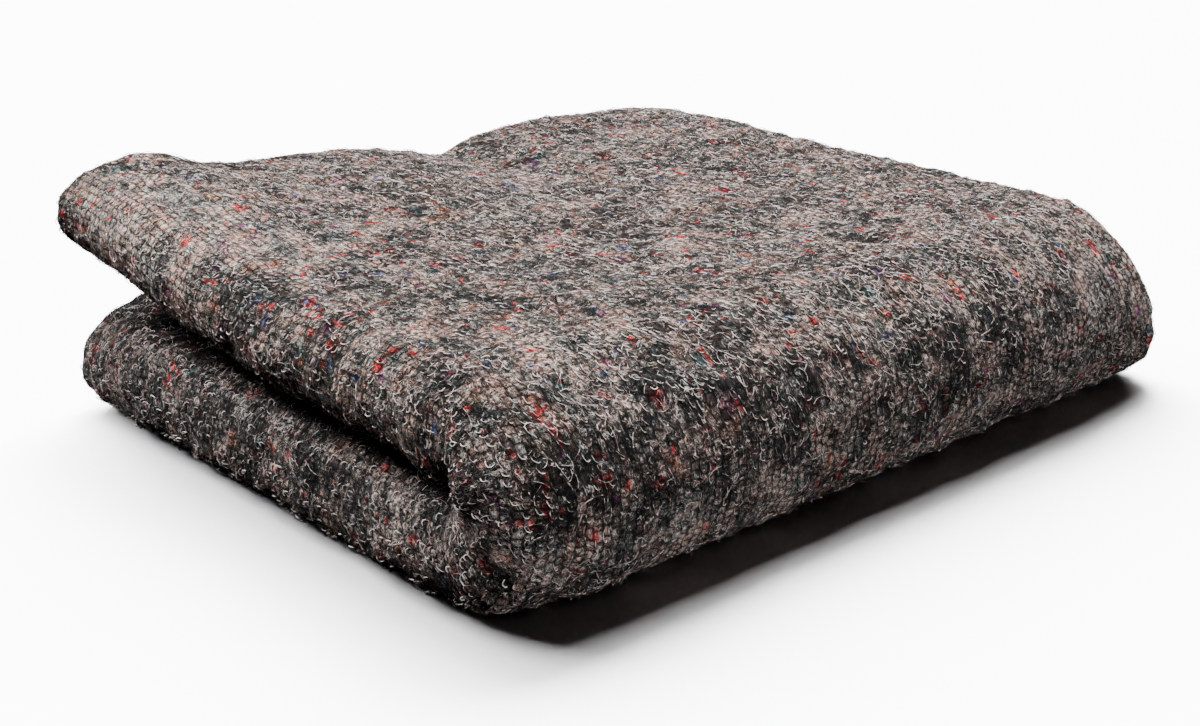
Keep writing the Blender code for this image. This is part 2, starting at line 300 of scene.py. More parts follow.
@dataclass(frozen=True)
class Settling:
    """How the folded pack has swelled, leaned and crumpled under its own weight."""

    # The upper lobe's rise above the lower one along the left side: (depth, rise).
    lobe_rise: Table = (
        (0.034, 0.0000),
        (0.070, 0.0012),
        (0.130, 0.0018),
        (0.165, 0.0038),
        (0.200, 0.0080),
        (0.240, 0.0160),
        (0.275, 0.0205),
        (0.312, 0.0222),
    )
    # The share of that rise that is left, from the left side to the right.
    rise_share: Table = (
        (0.000, 1.00),
        (0.040, 1.00),
        (0.056, 0.86),
        (0.076, 0.58),
        (0.099, 0.47),
        (0.130, 0.43),
        (0.152, 0.36),
        (0.175, 0.16),
        (0.199, 0.00),
        (0.360, 0.00),
    )
    # How much thicker the lower lobe is than its flat stack: (width, share).
    lower_plumpness: Table = (
        (0.000, 0.115),
        (0.050, 0.095),
        (0.110, 0.020),
        (0.180, 0.000),
        (0.360, 0.000),
    )
    # The share of that plumpness that is left, from front to back: (depth, share).
    plumpness_share: Table = ((0.000, 1.00), (0.180, 1.00), (0.312, 0.20))
    # The soft mounds and the hollow of the top along its back edge: (width, height).
    top_swell: Table = (
        (0.000, 0.0000),
        (0.150, 0.0000),
        (0.180, -0.0010),
        (0.199, -0.0026),
        (0.218, 0.0030),
        (0.248, 0.0052),
        (0.290, 0.0042),
        (0.360, 0.0010),
    )
    top_swell_reach: float = 0.150
    # How far the top sinks at its right edge, and over what width.
    right_edge_droop: float = 0.0015
    right_edge_reach: float = 0.080
    # How far the front fold leans in or bulges out, from the ground up: (height, lean).
    front_lean: Table = (
        (0.000, -0.0075),
        (0.012, -0.0045),
        (0.031, 0.0000),
        (0.045, 0.0010),
        (0.058, 0.0040),
        (0.070, 0.0090),
        (0.080, 0.0120),
    )
    front_lean_reach: float = 0.110
    # How far the left and right sides lean: (height, lean).
    left_lean: Table = ((0.000, -0.0038), (0.008, -0.0027), (0.024, 0.0), (0.080, 0.0))
    right_lean: Table = (
        (0.000, 0.0040),
        (0.030, 0.0015),
        (0.050, -0.0010),
        (0.080, -0.0050),
    )
    side_lean_reach: float = 0.070
    # The corners drawn in: width, depth, reach across and along, then how far the corner
    # moves across and along at the ground and at the top.
    corner_tucks: Table = (
        (0.000, 0.312, 0.045, 0.070, 0.002, -0.024, 0.002, -0.013),
        (0.360, 0.312, 0.050, 0.070, -0.003, -0.008, -0.003, -0.008),
        (0.000, 0.000, 0.050, 0.055, 0.002, 0.003, 0.003, 0.006),
        (0.360, 0.000, 0.070, 0.070, 0.003, 0.000, -0.005, 0.007),
    )
    # How far the near corner is lifted off the ground, and how far from it that reaches.
    front_corner_lift: float = 0.0040
    front_corner_reach: float = 0.050
    # The crumpled end of the front fold: place, reach, and push, across, along and up.
    crumples: Table = (
        (0.006, 0.050, 0.052, 0.0110, -0.0020, 0.0000, -0.0030),
        (0.004, 0.036, 0.050, 0.0055, 0.0014, 0.0000, 0.0008),
        (0.003, 0.029, 0.046, 0.0075, -0.0028, 0.0000, 0.0000),
        (0.000, 0.027, 0.0370, 0.0055, 0.0036, -0.0032, 0.0000),
        (0.001, 0.0190, 0.0455, 0.0042, 0.0022, 0.0008, 0.0000),
        (0.003, 0.038, 0.026, 0.0090, -0.0018, -0.0010, 0.0000),
        (0.005, 0.022, 0.027, 0.0050, 0.0022, 0.0012, 0.0000),
        (0.0105, 0.0200, 0.0165, 0.0043, 0.0046, 0.0062, -0.0010),
        (0.0065, 0.0260, 0.0200, 0.0045, -0.0012, -0.0010, 0.0000),
    )
    # The share of a crease's run where its depth begins and ends.
    crease_run: Span = (0.08, 0.92)
    # Soft creases: the two ends of each, its reach, and how far it is pushed down.
    creases: Table = (
        (0.058, 0.290, 0.090, 0.092, 0.150, 0.080, 0.0100, 0.0010),
        (0.088, 0.270, 0.084, 0.110, 0.165, 0.080, 0.0070, 0.0008),
        (0.120, 0.300, 0.084, 0.140, 0.200, 0.078, 0.0090, -0.0009),
        (0.036, 0.230, 0.084, 0.060, 0.110, 0.076, 0.0090, -0.0008),
        (0.200, 0.300, 0.078, 0.232, 0.180, 0.077, 0.0140, 0.0012),
        (0.160, 0.120, 0.078, 0.260, 0.080, 0.077, 0.0130, 0.0008),
        (0.285, 0.250, 0.080, 0.330, 0.150, 0.076, 0.0120, 0.0008),
        (0.060, 0.020, 0.066, 0.170, 0.016, 0.064, 0.0090, 0.0009),
        (0.190, 0.006, 0.046, 0.320, 0.004, 0.040, 0.0100, 0.0010),
        (0.000, 0.0165, 0.0655, 0.220, 0.012, 0.0625, 0.0085, -0.0022),
    )

    def swell_up(self, plan: FoldPlan, folded: FoldedPlaces) -> Places:
        """Plumps the lower lobe on the left and lifts the upper lobe at the back left.

        Args:
            plan: the pack's sizes.
            folded: places in the evenly folded pack, and which lie in the upper lobe.

        Returns:
            The moved places.
        """
        x, y, z, upper = folded
        plump = curve_through(self.lower_plumpness, x) * np.minimum(z, plan.lobe_stack)
        plump = plump * curve_through(self.plumpness_share, y)
        rise = curve_through(self.lobe_rise, y) * curve_through(self.rise_share, x)
        from_back = smooth_step(1.0 - (plan.pack_depth - y) / self.top_swell_reach)
        to_right = smooth_step(1.0 - (plan.pack_width - x) / self.right_edge_reach)
        swell = curve_through(self.top_swell, x) * from_back
        swell = (swell - self.right_edge_droop * to_right) * z / plan.pack_height
        return x, y, z + plump + np.where(upper, rise, 0.0) + swell

    def lean_sides(self, plan: FoldPlan, places: Places) -> Places:
        """Lets the front, left and right sides sag outwards low down and lean in above.

        Args:
            plan: the pack's sizes.
            places: places across the pack, along it and up.

        Returns:
            The moved places.
        """
        x, y, z = places
        from_front = smooth_step(1.0 - y / self.front_lean_reach)
        from_left = smooth_step(1.0 - x / self.side_lean_reach)
        from_right = smooth_step(1.0 - (plan.pack_width - x) / self.side_lean_reach)
        lean = curve_through(self.left_lean, z) * from_left
        lean = lean + curve_through(self.right_lean, z) * from_right
        return x + lean, y + curve_through(self.front_lean, z) * from_front, z

    def tuck_corners(self, plan: FoldPlan, places: Places) -> Places:
        """Draws in the pack's four corners, and lifts the near one off the ground.

        Args:
            plan: the pack's sizes.
            places: places across the pack, along it and up.

        Returns:
            The moved places.
        """
        x, y, z = places
        moved_x, moved_y = x, y
        high = smooth_step(z / plan.pack_height)
        for width, depth, reach_x, reach_y, low_x, low_y, high_x, high_y in self.corner_tucks:
            near = smooth_step(1.0 - np.abs(x - width) / reach_x)
            near = near * smooth_step(1.0 - np.abs(y - depth) / reach_y)
            moved_x = moved_x + (low_x + (high_x - low_x) * high) * near
            moved_y = moved_y + (low_y + (high_y - low_y) * high) * near
        near = smooth_step(1.0 - x / self.front_corner_reach)
        near = near * smooth_step(1.0 - y / self.front_corner_reach)
        lift = self.front_corner_lift * near * np.clip(1.0 - z / plan.pack_height, 0.0, 1.0)
        return moved_x, moved_y, z + lift

    def crumple(self, place: np.ndarray) -> np.ndarray:
        """Pushes the end of the front fold in and out round each crumple.

        Args:
            place: points of the pack, one a row.

        Returns:
            The moved points.
        """
        moved = place
        for row in self.crumples:
            centre, reach, push = np.array(row[:3]), row[3], np.array(row[4:])
            distance = ((place - centre) ** 2).sum(axis=-1, keepdims=True)
            moved = moved + push * np.exp(-distance / (reach * reach))
        return moved

    def crease(self, place: np.ndarray) -> np.ndarray:
        """Presses soft troughs into the pack, and raises soft ridges.

        Args:
            place: points of the pack, one a row.

        Returns:
            The moved points.
        """
        moved = place.copy()
        for row in self.creases:
            start, end, reach, depth = np.array(row[:3]), np.array(row[3:6]), row[6], row[7]
            run = end - start
            share = np.clip((place - start) @ run / (run @ run), 0.0, 1.0)[..., None]
            distance = ((place - start - share * run) ** 2).sum(axis=-1)
            fade = np.sin(math.pi * np.clip(share[..., 0], *self.crease_run))
            moved[..., 2] -= depth * fade * np.exp(-distance / (reach * reach))
        return moved

    def settle(self, plan: FoldPlan, folded: FoldedPlaces) -> np.ndarray:
        """Takes the evenly folded pack to the shape it lies in.

        Args:
            plan: the pack's sizes.
            folded: places in the evenly folded pack, and which lie in the upper lobe.

        Returns:
            The settled points, one a row.
        """
        places = self.lean_sides(plan, self.swell_up(plan, folded))
        places = self.tuck_corners(plan, places)
        return self.crease(self.crumple(np.stack(places, axis=-1)))


@dataclass(frozen=True)
class Unevenness:
    """Small soft waves in the pack, and smaller ones in its outer layer alone."""

    seed: int = 23
    # The waves of the whole pack: how many, their lengths and the longest ones' height.
    waves: int = 60
    longest: float = 0.070
    shortest: float = 0.018
    height: float = 0.0011
    # The same for the outer layer alone.
    skin_waves: int = 70
    skin_longest: float = 0.020
    skin_shortest: float = 0.009
    skin_height: float = 0.00042
    # The height over which the waves come on from the ground up.
    ground_fade: float = 0.012
    # How far a sum of waves is taken past its average.
    gain: float = 1.4

    def roll(self, place: np.ndarray) -> np.ndarray:
        """Moves the whole pack's points by the longer waves, and less near the ground.

        Args:
            place: points of the pack, one a row.

        Returns:
            The moved points.
        """
        draw = np.random.default_rng(self.seed)
        moved = np.zeros_like(place)
        for _ in range(self.waves):
            way, push = draw.normal(size=3), draw.normal(size=3)
            length = self.shortest * (self.longest / self.shortest) ** draw.random()
            phase = place @ (way / np.linalg.norm(way)) * (FULL_TURN / length)
            push *= self.height * (length / self.longest) / np.linalg.norm(push)
            moved += push * np.sin(phase + draw.random() * FULL_TURN)[..., None]
        free = smooth_step(place[..., 2:] / self.ground_fade)
        return place + moved * free * (self.gain / math.sqrt(self.waves))

    def ripple(self, across: np.ndarray, along: np.ndarray) -> np.ndarray:
        """How far the outer layer stands out at places of the flat cloth.

        Args:
            across: true lengths across the cloth.
            along: true lengths along it.

        Returns:
            The height outwards at each place.
        """
        draw = np.random.default_rng(self.seed + 1)
        total = np.zeros_like(across)
        for _ in range(self.skin_waves):
            turn = draw.random() * FULL_TURN
            length = self.skin_shortest
            length *= (self.skin_longest / self.skin_shortest) ** draw.random()
            way = across * math.cos(turn) + along * math.sin(turn)
            total += np.sin(way * (FULL_TURN / length) + draw.random() * FULL_TURN)
        return total * self.skin_height * (self.gain / math.sqrt(self.skin_waves))


@dataclass(frozen=True)
class FoldedCloth:
    """Takes any point of the flat cloth to its place in the settled pack."""

    plan: FoldPlan = FoldPlan()
    settling: Settling = Settling()
    unevenness: Unevenness = Unevenness()
    # The pack's middle, which comes to stand on the origin.
    middle_across: float = 0.18199
    middle_along: float = 0.15593
    # How far the marks along the cloth go on past its last folds.
    past: float = 1.0
    # The ripple dies out inside the mouth: how near the front fold, and from where on and
    # over what length across the cloth.
    calm_reach: float = 0.010
    calm_from: float = 0.012
    calm_over: float = 0.020

    @property
    def across_marks(self) -> tuple[np.ndarray, np.ndarray]:
        """Fold marks across the cloth, and how much cloth its outer face has up to each.

        Returns:
            The marks, and the true lengths at them.
        """
        plan = self.plan
        left, right = plan.left, plan.right
        past_end = 3 * right.end
        marks = (plan.far_left, left.end, left.line, right.line, right.end, past_end)
        left_arc = -math.pi * left.axis
        right_arc = right.line - left.line + math.pi * right.axis
        true = (
            left_arc + plan.far_left - left.end,
            left_arc,
            0.0,
            right.line - left.line,
            right_arc,
            right_arc + past_end - right.end,
        )
        return np.array(marks), np.array(true)

    @property
    def along_marks(self) -> tuple[np.ndarray, np.ndarray]:
        """Fold marks along the cloth, and how much cloth its outer face has up to each.

        Returns:
            The marks, and the true lengths at them.
        """
        front, low, high = self.plan.front, self.plan.lower_back, self.plan.upper_back
        turns = (high.end, high.line, front.end, front.line, low.line, low.end)
        marks = (high.end - self.past, *turns, low.end + self.past)
        front_arc = -math.pi * front.axis
        upper = front_arc - (front.end - high.line)
        upper_end = upper - math.pi * high.axis
        lower = low.line - front.line
        lower_end = lower + math.pi * low.axis
        turns = (upper_end, upper, front_arc, 0.0, lower, lower_end)
        true = (upper_end - self.past, *turns, lower_end + self.past)
        return np.array(marks), np.array(true)

    def true_lengths(self, across: np.ndarray, along: np.ndarray) -> tuple[np.ndarray, np.ndarray]:
        """The lengths of cloth, measured on its outer face, at places of the fold plan.

        Args:
            across: places of the fold plan across the cloth.
            along: places along it.

        Returns:
            The true lengths across and along.
        """
        marks_x, true_x = self.across_marks
        marks_y, true_y = self.along_marks
        return np.interp(across, marks_x, true_x), np.interp(along, marks_y, true_y)

    def plan_places(self, across: np.ndarray, along: np.ndarray) -> tuple[np.ndarray, np.ndarray]:
        """The places of the fold plan at true lengths of the cloth's outer face.

        Args:
            across: true lengths across the cloth.
            along: true lengths along it.

        Returns:
            The places across and along.
        """
        marks_x, true_x = self.across_marks
        marks_y, true_y = self.along_marks
        return np.interp(across, true_x, marks_x), np.interp(along, true_y, marks_y)

    def place(self, across: np.ndarray, along: np.ndarray, height: np.ndarray) -> np.ndarray:
        """Folds and settles points of the cloth.

        Args:
            across: places of the fold plan across the cloth.
            along: places along it.
            height: heights above the outer face, towards the inside.

        Returns:
            The points in the settled pack, one a row.
        """
        long_x, long_y = self.true_lengths(across, along)
        outer = smooth_step(2.0 - height / self.plan.thickness)
        front = self.plan.front
        from_turn = np.abs(along - front.line + front.turn / 2) - front.turn / 2
        inside = smooth_step(1.0 - from_turn / self.calm_reach)
        inside = inside * smooth_step((-long_x - self.calm_from) / self.calm_over)
        lift = self.unevenness.ripple(long_x, long_y) * outer * (1.0 - inside)
        folded = self.plan.fold(across, along, height - lift)
        points = self.unevenness.roll(self.settling.settle(self.plan, folded))
        points[..., 0] -= self.middle_across
        points[..., 1] -= self.middle_along
        points[..., 2] = np.maximum(points[..., 2], 0.0)
        return points

    def lay(self, flat: np.ndarray) -> np.ndarray:
        """Puts what was made on the flat cloth in true lengths onto the folded pack.

        Args:
            flat: points of (across, along, height above the outer face), one a row.

        Returns:
            The points in the settled pack.
        """
        across, along = self.plan_places(flat[:, 0], flat[:, 1])
        return self.place(across, along, -flat[:, 2])


# ---- objects and node trees ----------------------------------------------------------


def placed(name: str, data: Any) -> bpy.types.Object:
    """Puts new data into the scene.

    Args:
        name: the object's name.
        data: its mesh, light or camera.

    Returns:
        The object.
    """
    made = bpy.data.objects.new(name, data)
    bpy.context.scene.collection.objects.link(made)
    return made


class NodeBench:
    """Lays nodes into a tree and joins them."""

    def __init__(self, tree: bpy.types.NodeTree) -> None:
        """Takes the tree that the nodes go into."""
        self.tree = tree

    def feed(self, socket: bpy.types.NodeSocket, value: Any) -> None:
        """Joins a socket to another, or sets its value.

        Args:
            socket: an input.
            value: the socket that goes into it, or its value.
        """
        if isinstance(value, bpy.types.NodeSocket):
            self.tree.links.new(value, socket)
        else:
            socket.default_value = value

    def put(self, kind: str, feeds: dict[Any, Any] | None = None, **settings: Any) -> Any:
        """Adds one node.

        Args:
            kind: the node's Blender type.
            feeds: what goes into each input, by name or number.
            settings: the node's own settings.

        Returns:
            The node.
        """
        node = self.tree.nodes.new(kind)
        for name, value in settings.items():
            setattr(node, name, value)
        for socket, value in (feeds or {}).items():
            self.feed(node.inputs[socket], value)
        return node

    def sum_of(self, operation: str, first: Any, second: Any = 0.0, third: Any = 0.0) -> Any:
        """Works out one sum.

        Args:
            operation: the math node's operation.
            first: its first number or socket.
            second: its second.
            third: its third, where it has one.

        Returns:
            The result.
        """
        node = self.put("ShaderNodeMath", {0: first, 1: second}, operation=operation)
        if len(node.inputs) > 2:
            self.feed(node.inputs[2], third)
        return node.outputs[0]

    def vector(self, operation: str, first: Any, second: Any) -> Any:
        """The result of one vector math node."""
        node = self.put("ShaderNodeVectorMath", {0: first, 1: second}, operation=operation)
        return node.outputs[0]


@dataclass(frozen=True)
class Grain:
    """One noise: its features' size, its finer octaves, their strength and its twist."""

    size: float
    detail: float = 1.0
    rough: float = 0.5
    twist: float = 0.0


class FinishBench(NodeBench):
    """Lays out one finish as a material's nodes."""

    def __init__(self, name: str) -> None:
        """Starts a new material.

        Args:
            name: the material's name.
        """
        self.material = bpy.data.materials.new(name)
        self.material.use_nodes = True
        super().__init__(self.material.node_tree)
        self.shader = self.tree.nodes["Principled BSDF"]

    def object_place(self) -> Any:
        """The point's place in the object's own coordinates."""
        return self.put("ShaderNodeTexCoord").outputs["Object"]

    def noise(self, place: Any, grain: Grain, space: str = "3D") -> Any:
        """A noise node.

        Args:
            place: the coordinates that it reads.
            grain: what the noise is like.
            space: "3D", or "2D" for one that lies flat on the cloth.

        Returns:
            The node.
        """
        node = self.put("ShaderNodeTexNoise", noise_dimensions=space)
        feeds = {"Vector": place, "Scale": 1.0 / grain.size, "Detail": grain.detail}
        feeds |= {"Roughness": grain.rough, "Distortion": grain.twist}
        for name, value in feeds.items():
            self.feed(node.inputs[name], value)
        return node

    def part(self, colour: Any, number: int) -> Any:
        """One channel of a colour."""
        return self.put("ShaderNodeSeparateColor", {0: colour}).outputs[number]

    def scaled(self, colour: Any, gain: Any) -> Any:
        """Makes a colour or a vector larger or smaller.

        Args:
            colour: the colour.
            gain: how many times.

        Returns:
            The scaled colour.
        """
        node = self.put("ShaderNodeVectorMath", {0: colour}, operation="SCALE")
        self.feed(node.inputs["Scale"], gain)
        return node.outputs[0]

    def between(
        self, value: Any, low: float, high: float, start: float = 0.0, end: float = 1.0
    ) -> Any:
        """A smooth step from start, at low, to end, at high."""
        feeds = {"Value": value, "From Min": low, "From Max": high, "To Min": start, "To Max": end}
        return self.put("ShaderNodeMapRange", feeds, interpolation_type="SMOOTHSTEP").outputs[0]

    def mix(self, share: Any, low: Any, high: Any, way: str = "MIX") -> Any:
        """Mixes two colours.

        Args:
            share: how much of the second there is.
            low: the first colour.
            high: the second.
            way: the mix node's blend type.

        Returns:
            The mixed colour.
        """
        node = self.put("ShaderNodeMix", data_type="RGBA", blend_type=way)
        for socket, value in ((0, share), (6, low), (7, high)):
            self.feed(node.inputs[socket], value)
        return node.outputs[2]

    def ramp(self, value: Any, stops: Stops, stepped: bool = False) -> Any:
        """A row of colours read by a value.

        Args:
            value: where the row is read, from 0 to 1.
            stops: each colour and its place.
            stepped: True to jump from colour to colour.

        Returns:
            The colour socket.
        """
        node = self.put("ShaderNodeValToRGB", {0: value})
        node.color_ramp.interpolation = "CONSTANT" if stepped else "LINEAR"
        elements = node.color_ramp.elements
        for _ in range(len(stops) - 2):
            elements.new(0.5)
        for element, (place, colour) in zip(elements, stops):
            element.position = place
            element.color = colour
        return node.outputs[0]

    def raised(self, height: Any, distance: float, under: Any = None) -> Any:
        """Raises a bump, over another one or alone.

        Args:
            height: where it stands out, from 0 to 1.
            distance: how far.
            under: the bump under it, or None.

        Returns:
            The bump.
        """
        feeds = {"Height": height, "Distance": distance}
        if under is not None:
            feeds["Normal"] = under
        return self.put("ShaderNodeBump", feeds).outputs[0]

    def finish(self, **inputs: Any) -> bpy.types.Material:
        """Sets the shader's inputs.

        Args:
            inputs: their values, by their names with spaces as underscores.

        Returns:
            The material.
        """
        for name, value in inputs.items():
            self.feed(self.shader.inputs[name.replace("_", " ")], value)
        return self.material


# ---- finishes ------------------------------------------------------------------------


@dataclass(frozen=True)
class Thread:
    """How fine fibres are drawn: as short arcs, where a noise passes its middle."""

    rough: float
    twist: float
    # How much of an arc's width is full, and where in a second noise the arcs end.
    core: float
    cut: Span

    def drawn(self, bench: FinishBench, place: Any, curl: float, width: float) -> tuple[Any, Any]:
        """Draws the arcs.

        Args:
            bench: where the nodes go.
            place: the coordinates that they are drawn in.
            curl: the size of their curls.
            width: how wide they are, as a share of the noise's range.

        Returns:
            Where they show, and a random colour for each.
        """
        grain = Grain(curl, rough=self.rough, twist=self.twist)
        curls = bench.noise(place, grain, "2D").outputs
        off = bench.sum_of("ABSOLUTE", bench.sum_of("SUBTRACT", curls["Fac"], 0.5))
        shown = bench.between(off, width * self.core, width, 1.0, 0.0)
        arcs = bench.between(bench.part(curls["Color"], 1), *self.cut)
        return bench.sum_of("MULTIPLY", shown, arcs), curls["Color"]


@dataclass(frozen=True)
class Strands:
    """One layer of felted fibres: their curls and width, and their lightness and height."""

    curl: float
    width: float
    offset: Triple
    tone: float
    height: float


@dataclass(frozen=True)
class Webs:
    """One layer of bright filament, and where in the broad noise it fades out and is full."""

    curl: float
    width: float
    offset: Triple
    gathers: Span


@dataclass(frozen=True)
class Clumps:
    """One size of ragged clump: the share of cells that has one, and how strong they are."""

    size: float
    wanted: float
    offset: Triple
    strength: float
    bright: bool


@dataclass(frozen=True)
class FeltFinish:
    """Felt of mixed recycled fibres, puffed up between the columns of bonding stitches."""

    wale: float = WALE
    course: float = COURSE
    puff_height: float = 0.00120
    # How steeply a puff rises from its edges, and how far its edges wander.
    puff_power: float = 0.7
    puff_wander: Grain = Grain(0.0035)
    puff_wander_reach: float = 0.0014
    # How regular the puffs are, by the broad noise, and how they shade the felt.
    puff_regular: Spread = (0.37, 0.58, 0.68, 1.0)
    puff_shade: Spread = (0.02, 0.74, -0.88, 0.16)
    # The noises that bend the fibres, and that part the blend into patches.
    drift: Grain = Grain(0.012, 2.0, 0.6)
    drift_reach: float = 0.006
    broad: Grain = Grain(0.019, 2.0, 0.6)
    close: Grain = Grain(0.0052, 2.0, 0.6, 0.4)
    cloud: Grain = Grain(0.050)
    # What each of them adds to the blend's lightness, and each puff's own share.
    broad_tone: Spread = (0.36, 0.64, 0.385, 0.570)
    cloud_tone: Spread = (0.36, 0.64, -0.045, 0.045)
    close_tone: Spread = (0.27, 0.73, -0.105, 0.105)
    puff_tone: float = 0.20
    # How fast the hues change with the close noise, and from puff to puff.
    hue_turns: float = 1.9
    puff_hue: float = 0.40
    # How much darker the depths between the strands are painted, as shade in the felt's hollows.
    depth: float = 0.14
    # The strands, how they are stretched across the cloth, and how much they differ.
    strand: Thread = Thread(rough=0.45, twist=1.5, core=0.35, cut=(0.42, 0.50))
    strand_stretch: Triple = (1.35, 1.0, 1.0)
    strand_contrast: float = 1.42
    # How much of their hue the fibres lose, the darkest ones most.
    hue_lost: Spread = (0.03, 0.45, 0.40, 0.0)
    # How a clump follows the felt's lightness, and how ragged its edge is.
    clump_gain: float = 4.8
    clump_least: float = 0.06
    clump_most: float = 2.4
    clump_grain: float = 0.45
    clump_rough: float = 0.60
    clump_reach: float = 0.62
    clump_edge: Span = (0.06, 0.36)
    # The filament, its glints, and how far it stands out.
    filament: Thread = Thread(rough=0.5, twist=1.2, core=0.3, cut=(0.44, 0.54))
    web_glint: Spread = (0.38, 0.66, 0.14, 0.92)
    web_height: float = 0.00025
    # How rough the felt is, where it's dark and where it's light, and how it shines.
    rough: Spread = (0.35, 0.65, 0.97, 0.85)
    specular: float = 0.08
    sheen: float = 0.03
    sheen_rough: float = 0.55
    strands: tuple[Strands, ...] = (
        Strands(0.0028, 0.120, (0.11, 0.37, 0.0), -0.04, 0.00020),
        Strands(0.0022, 0.105, (0.53, 0.19, 0.0), 0.00, 0.00025),
        Strands(0.0025, 0.090, (0.83, 0.71, 0.0), 0.05, 0.00030),
        Strands(0.0019, 0.100, (0.35, 0.97, 0.0), 0.02, 0.00025),
    )
    clumps: tuple[Clumps, ...] = (
        Clumps(0.0085, 0.30, (0.31, 0.17, 0.0), 0.60, False),
        Clumps(0.0048, 0.24, (0.77, 0.53, 0.0), 0.60, False),
        Clumps(0.0058, 0.055, (0.13, 0.91, 0.0), 0.95, True),
        Clumps(0.0034, 0.070, (0.49, 0.37, 0.0), 0.90, True),
    )
    webs: tuple[Webs, ...] = (
        Webs(0.0034, 0.036, (0.29, 0.83, 0.0), (0.52, 0.66)),
        Webs(0.0026, 0.038, (0.67, 0.43, 0.0), (0.47, 0.68)),
    )
    # The fibres' lightness, their hues, and what tints whole patches of them.
    tones: Stops = (
        (0.24, (0.003, 0.003, 0.003, 1.0)),
        (0.40, (0.014, 0.014, 0.014, 1.0)),
        (0.50, (0.041, 0.041, 0.041, 1.0)),
        (0.62, (0.090, 0.090, 0.090, 1.0)),
        (0.76, (0.200, 0.200, 0.200, 1.0)),
        (0.92, (0.760, 0.760, 0.760, 1.0)),
    )
    hues: Stops = (
        (0.00, (0.630, 0.465, 0.415, 1.0)),
        (0.12, (0.570, 0.480, 0.455, 1.0)),
        (0.25, (0.720, 0.435, 0.400, 1.0)),
        (0.38, (0.600, 0.475, 0.400, 1.0)),
        (0.50, (0.430, 0.512, 0.540, 1.0)),
        (0.62, (0.580, 0.475, 0.465, 1.0)),
        (0.75, (0.690, 0.450, 0.350, 1.0)),
        (0.88, (0.485, 0.508, 0.465, 1.0)),
    )
    casts: Stops = (
        (0.38, (0.465, 0.510, 0.505, 1.0)),
        (0.50, (0.512, 0.500, 0.475, 1.0)),
        (0.62, (0.560, 0.485, 0.445, 1.0)),
    )
    # The colours of the clumps.
    muted: Stops = (
        (0.00, (0.270, 0.135, 0.118, 1.0)),
        (0.28, (0.175, 0.095, 0.072, 1.0)),
        (0.42, (0.400, 0.240, 0.215, 1.0)),
        (0.56, (0.045, 0.045, 0.052, 1.0)),
        (0.74, (0.430, 0.420, 0.400, 1.0)),
        (0.84, (0.085, 0.115, 0.125, 1.0)),
        (0.93, (0.170, 0.125, 0.080, 1.0)),
    )
    vivid: Stops = (
        (0.00, (0.460, 0.026, 0.026, 1.0)),
        (0.44, (0.340, 0.135, 0.080, 1.0)),
        (0.58, (0.050, 0.070, 0.170, 1.0)),
        (0.74, (0.230, 0.050, 0.150, 1.0)),
        (0.87, (0.070, 0.150, 0.160, 1.0)),
    )

    def puffs(self, bench: FinishBench, place: Any) -> tuple[Any, Any]:
        """The pillows of felt between the stitches.

        Args:
            bench: where the nodes go.
            place: the cloth's own coordinates.

        Returns:
            The height, from 0 at each pillow's edges to 1, and a random colour for each.
        """
        wander = bench.noise(place, self.puff_wander, "2D").outputs["Color"]
        wander = bench.vector("SUBTRACT", wander, MIDDLE)
        moved = bench.vector("ADD", place, bench.scaled(wander, self.puff_wander_reach))
        parts = bench.put("ShaderNodeSeparateXYZ", {0: moved})
        column = bench.sum_of("DIVIDE", parts.outputs[0], self.wale)
        number = bench.sum_of("FLOOR", column)
        shift = bench.sum_of("MULTIPLY", number, 0.5)
        row = bench.sum_of("ADD", bench.sum_of("DIVIDE", parts.outputs[1], self.course), shift)
        sides = []
        for value in (column, row):
            wave = bench.sum_of("SINE", bench.sum_of("MULTIPLY", value, math.pi))
            sides.append(bench.sum_of("POWER", bench.sum_of("ABSOLUTE", wave), self.puff_power))
        cell = bench.put("ShaderNodeCombineXYZ", {0: number, 1: bench.sum_of("FLOOR", row)})
        own = bench.put("ShaderNodeTexWhiteNoise", {0: cell.outputs[0]}, noise_dimensions="2D")
        return bench.sum_of("MULTIPLY", sides[0], sides[1]), own.outputs["Color"]

    def wool_blend(self, bench: FinishBench, place: Any, tone: Any, bump: Any) -> tuple[Any, Any]:
        """The felted fibres: depths darkened with painted shade, and layers of lighter strands
        over them.

        Args:
            bench: where the nodes go.
            place: the warped coordinates.
            tone: how light the blend is, about 0.5.
            bump: the bump under the strands.

        Returns:
            The fibres' lightness, as a grey, and the bump with the strands on it.
        """
        # The depths, darkened as painted shade, under the strands.
        light = bench.ramp(bench.sum_of("SUBTRACT", tone, self.depth), self.tones)
        place = bench.vector("MULTIPLY", place, self.strand_stretch)
        for layer in self.strands:
            moved = bench.vector("ADD", place, layer.offset)
            shown, own = self.strand.drawn(bench, moved, layer.curl, layer.width)
            pick = bench.sum_of("SUBTRACT", bench.part(own, 2), 0.5)
            pick = bench.sum_of("MULTIPLY_ADD", pick, self.strand_contrast, layer.tone)
            fibre = bench.ramp(bench.sum_of("ADD", tone, pick), self.tones)
            light = bench.mix(shown, light, fibre)
            bump = bench.raised(shown, layer.height, bump)
        return light, bump

    def tinted(self, bench: FinishBench, light: Any, hue: Any) -> Any:
        """Colours the fibres, the darkest ones least.

        Args:
            bench: where the nodes go.
            light: the fibres' lightness.
            hue: which hue they have, repeating from 0 to 1.

        Returns:
            The colour.
        """
        tint = bench.ramp(bench.sum_of("FRACT", hue), self.hues)
        tint = bench.mix(bench.between(light, *self.hue_lost), tint, NEUTRAL)
        return bench.scaled(tint, bench.sum_of("MULTIPLY", light, 2.0))

